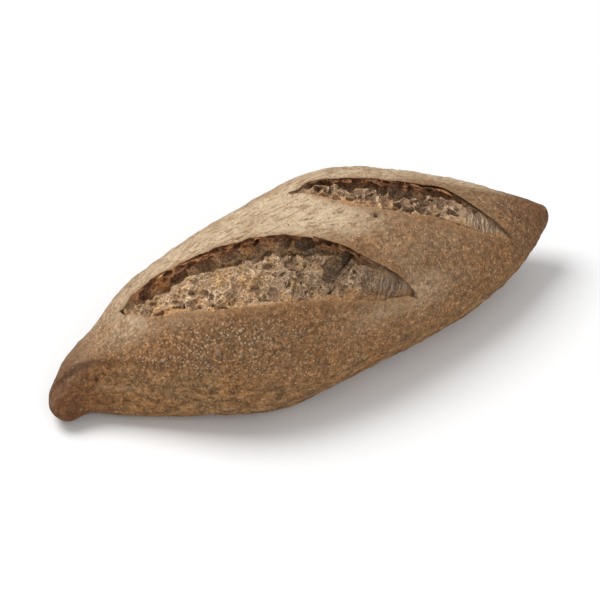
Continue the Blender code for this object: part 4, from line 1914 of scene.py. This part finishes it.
@dataclass(frozen=True)
class Studio:
    """A pale floor, soft light from above and behind on the left, and the photo's view."""

    lamps: tuple[Lamp, ...] = (
        Lamp("key", (-0.35, 0.45, 1.0), size=0.7, power=11.0),
        Lamp("fill", (-0.15, -1.05, 0.65), size=0.9, power=5.0),
    )
    sky: float = 0.45
    floor_half: float = 3.0
    floor_tones: tuple[Colour, Colour] = ((0.86, 0.86, 0.86), (0.88, 0.88, 0.88))
    azimuth: float = -31.0
    elevation: float = 38.0
    distance: float = 0.80
    lens: float = 171.0
    sensor: float = 36.0
    aim: tuple[float, float, float] = (0.0, -0.0029, 0.022)
    aim_right: float = -0.00259
    aim_up: float = -0.0055

    def camera(self) -> None:
        """Places the camera: away from the aim along the view, with the aim moved in the picture."""
        turn, rise = math.radians(self.azimuth), math.radians(self.elevation)
        right = np.array([math.cos(turn), math.sin(turn), 0.0])
        back = np.array([math.sin(turn) * math.cos(rise), -math.cos(turn) * math.cos(rise), math.sin(rise)])
        up = np.cross(back, right)
        data = bpy.data.cameras.new("camera")
        data.lens = self.lens
        data.sensor_width = self.sensor
        data.clip_start = 0.01
        where = np.array(self.aim) + self.aim_right * right + self.aim_up * up + self.distance * back
        bpy.context.scene.camera = place_object("camera", data, right, up, back, where)

    def hang(self, lamp: Lamp) -> None:
        """Hangs a lamp so that it looks at the roll.

        Args:
            lamp: The lamp.
        """
        data = bpy.data.lights.new(lamp.name, "AREA")
        data.size = lamp.size
        data.energy = lamp.power
        back = unit(np.array(lamp.place) - np.array(self.aim))
        right = unit(np.cross([0.0, 0.0, 1.0], back))
        place_object(lamp.name, data, right, np.cross(back, right), back, np.array(lamp.place))

    def floor(self) -> None:
        """A wide pale floor under the roll."""
        mesh = bpy.data.meshes.new("floor")
        half = self.floor_half
        corners = [(-half, -half, 0), (half, -half, 0), (half, half, 0), (-half, half, 0)]
        mesh.from_pydata(corners, [], [(0, 1, 2, 3)])
        make = Finish("floor", 0.9, 0.1)
        tone = make.noise(0.3, 2.0)
        colour = make.mix(make.span(tone, 0.3, 0.7), *self.floor_tones)
        mesh.materials.append(make.finish(colour, tone, 0.0))
        floor = bpy.data.objects.new("floor", mesh)
        bpy.context.scene.collection.objects.link(floor)

    def build(self) -> None:
        """Floor, lamps, sky and camera."""
        self.floor()
        self.camera()
        for lamp in self.lamps:
            self.hang(lamp)
        sky = bpy.data.worlds.new("sky")
        sky.use_nodes = True
        background = sky.node_tree.nodes["Background"]
        background.inputs["Color"].default_value = (1.0, 1.0, 1.0, 1.0)
        background.inputs["Strength"].default_value = self.sky
        bpy.context.scene.world = sky
        bpy.context.scene.view_settings.view_transform = "Standard"


def main() -> None:
    """Builds the pieces in order."""
    logging.basicConfig(level=logging.INFO, format="%(name)s: %(message)s")
    form = RollForm()
    flat = Unrolled(form)
    Crust(form).build(crust_material(CrustFinish()))
    crumb = crumb_material(CrumbFinish())
    for piece in (front_crumb(form, flat), back_crumb(form, flat)):
        piece.build(crumb)
    Bran(form).build(bran_material(BranFinish()))
    Studio().build()
    bpy.context.view_layer.update()


if __name__ == "__main__":
    main()
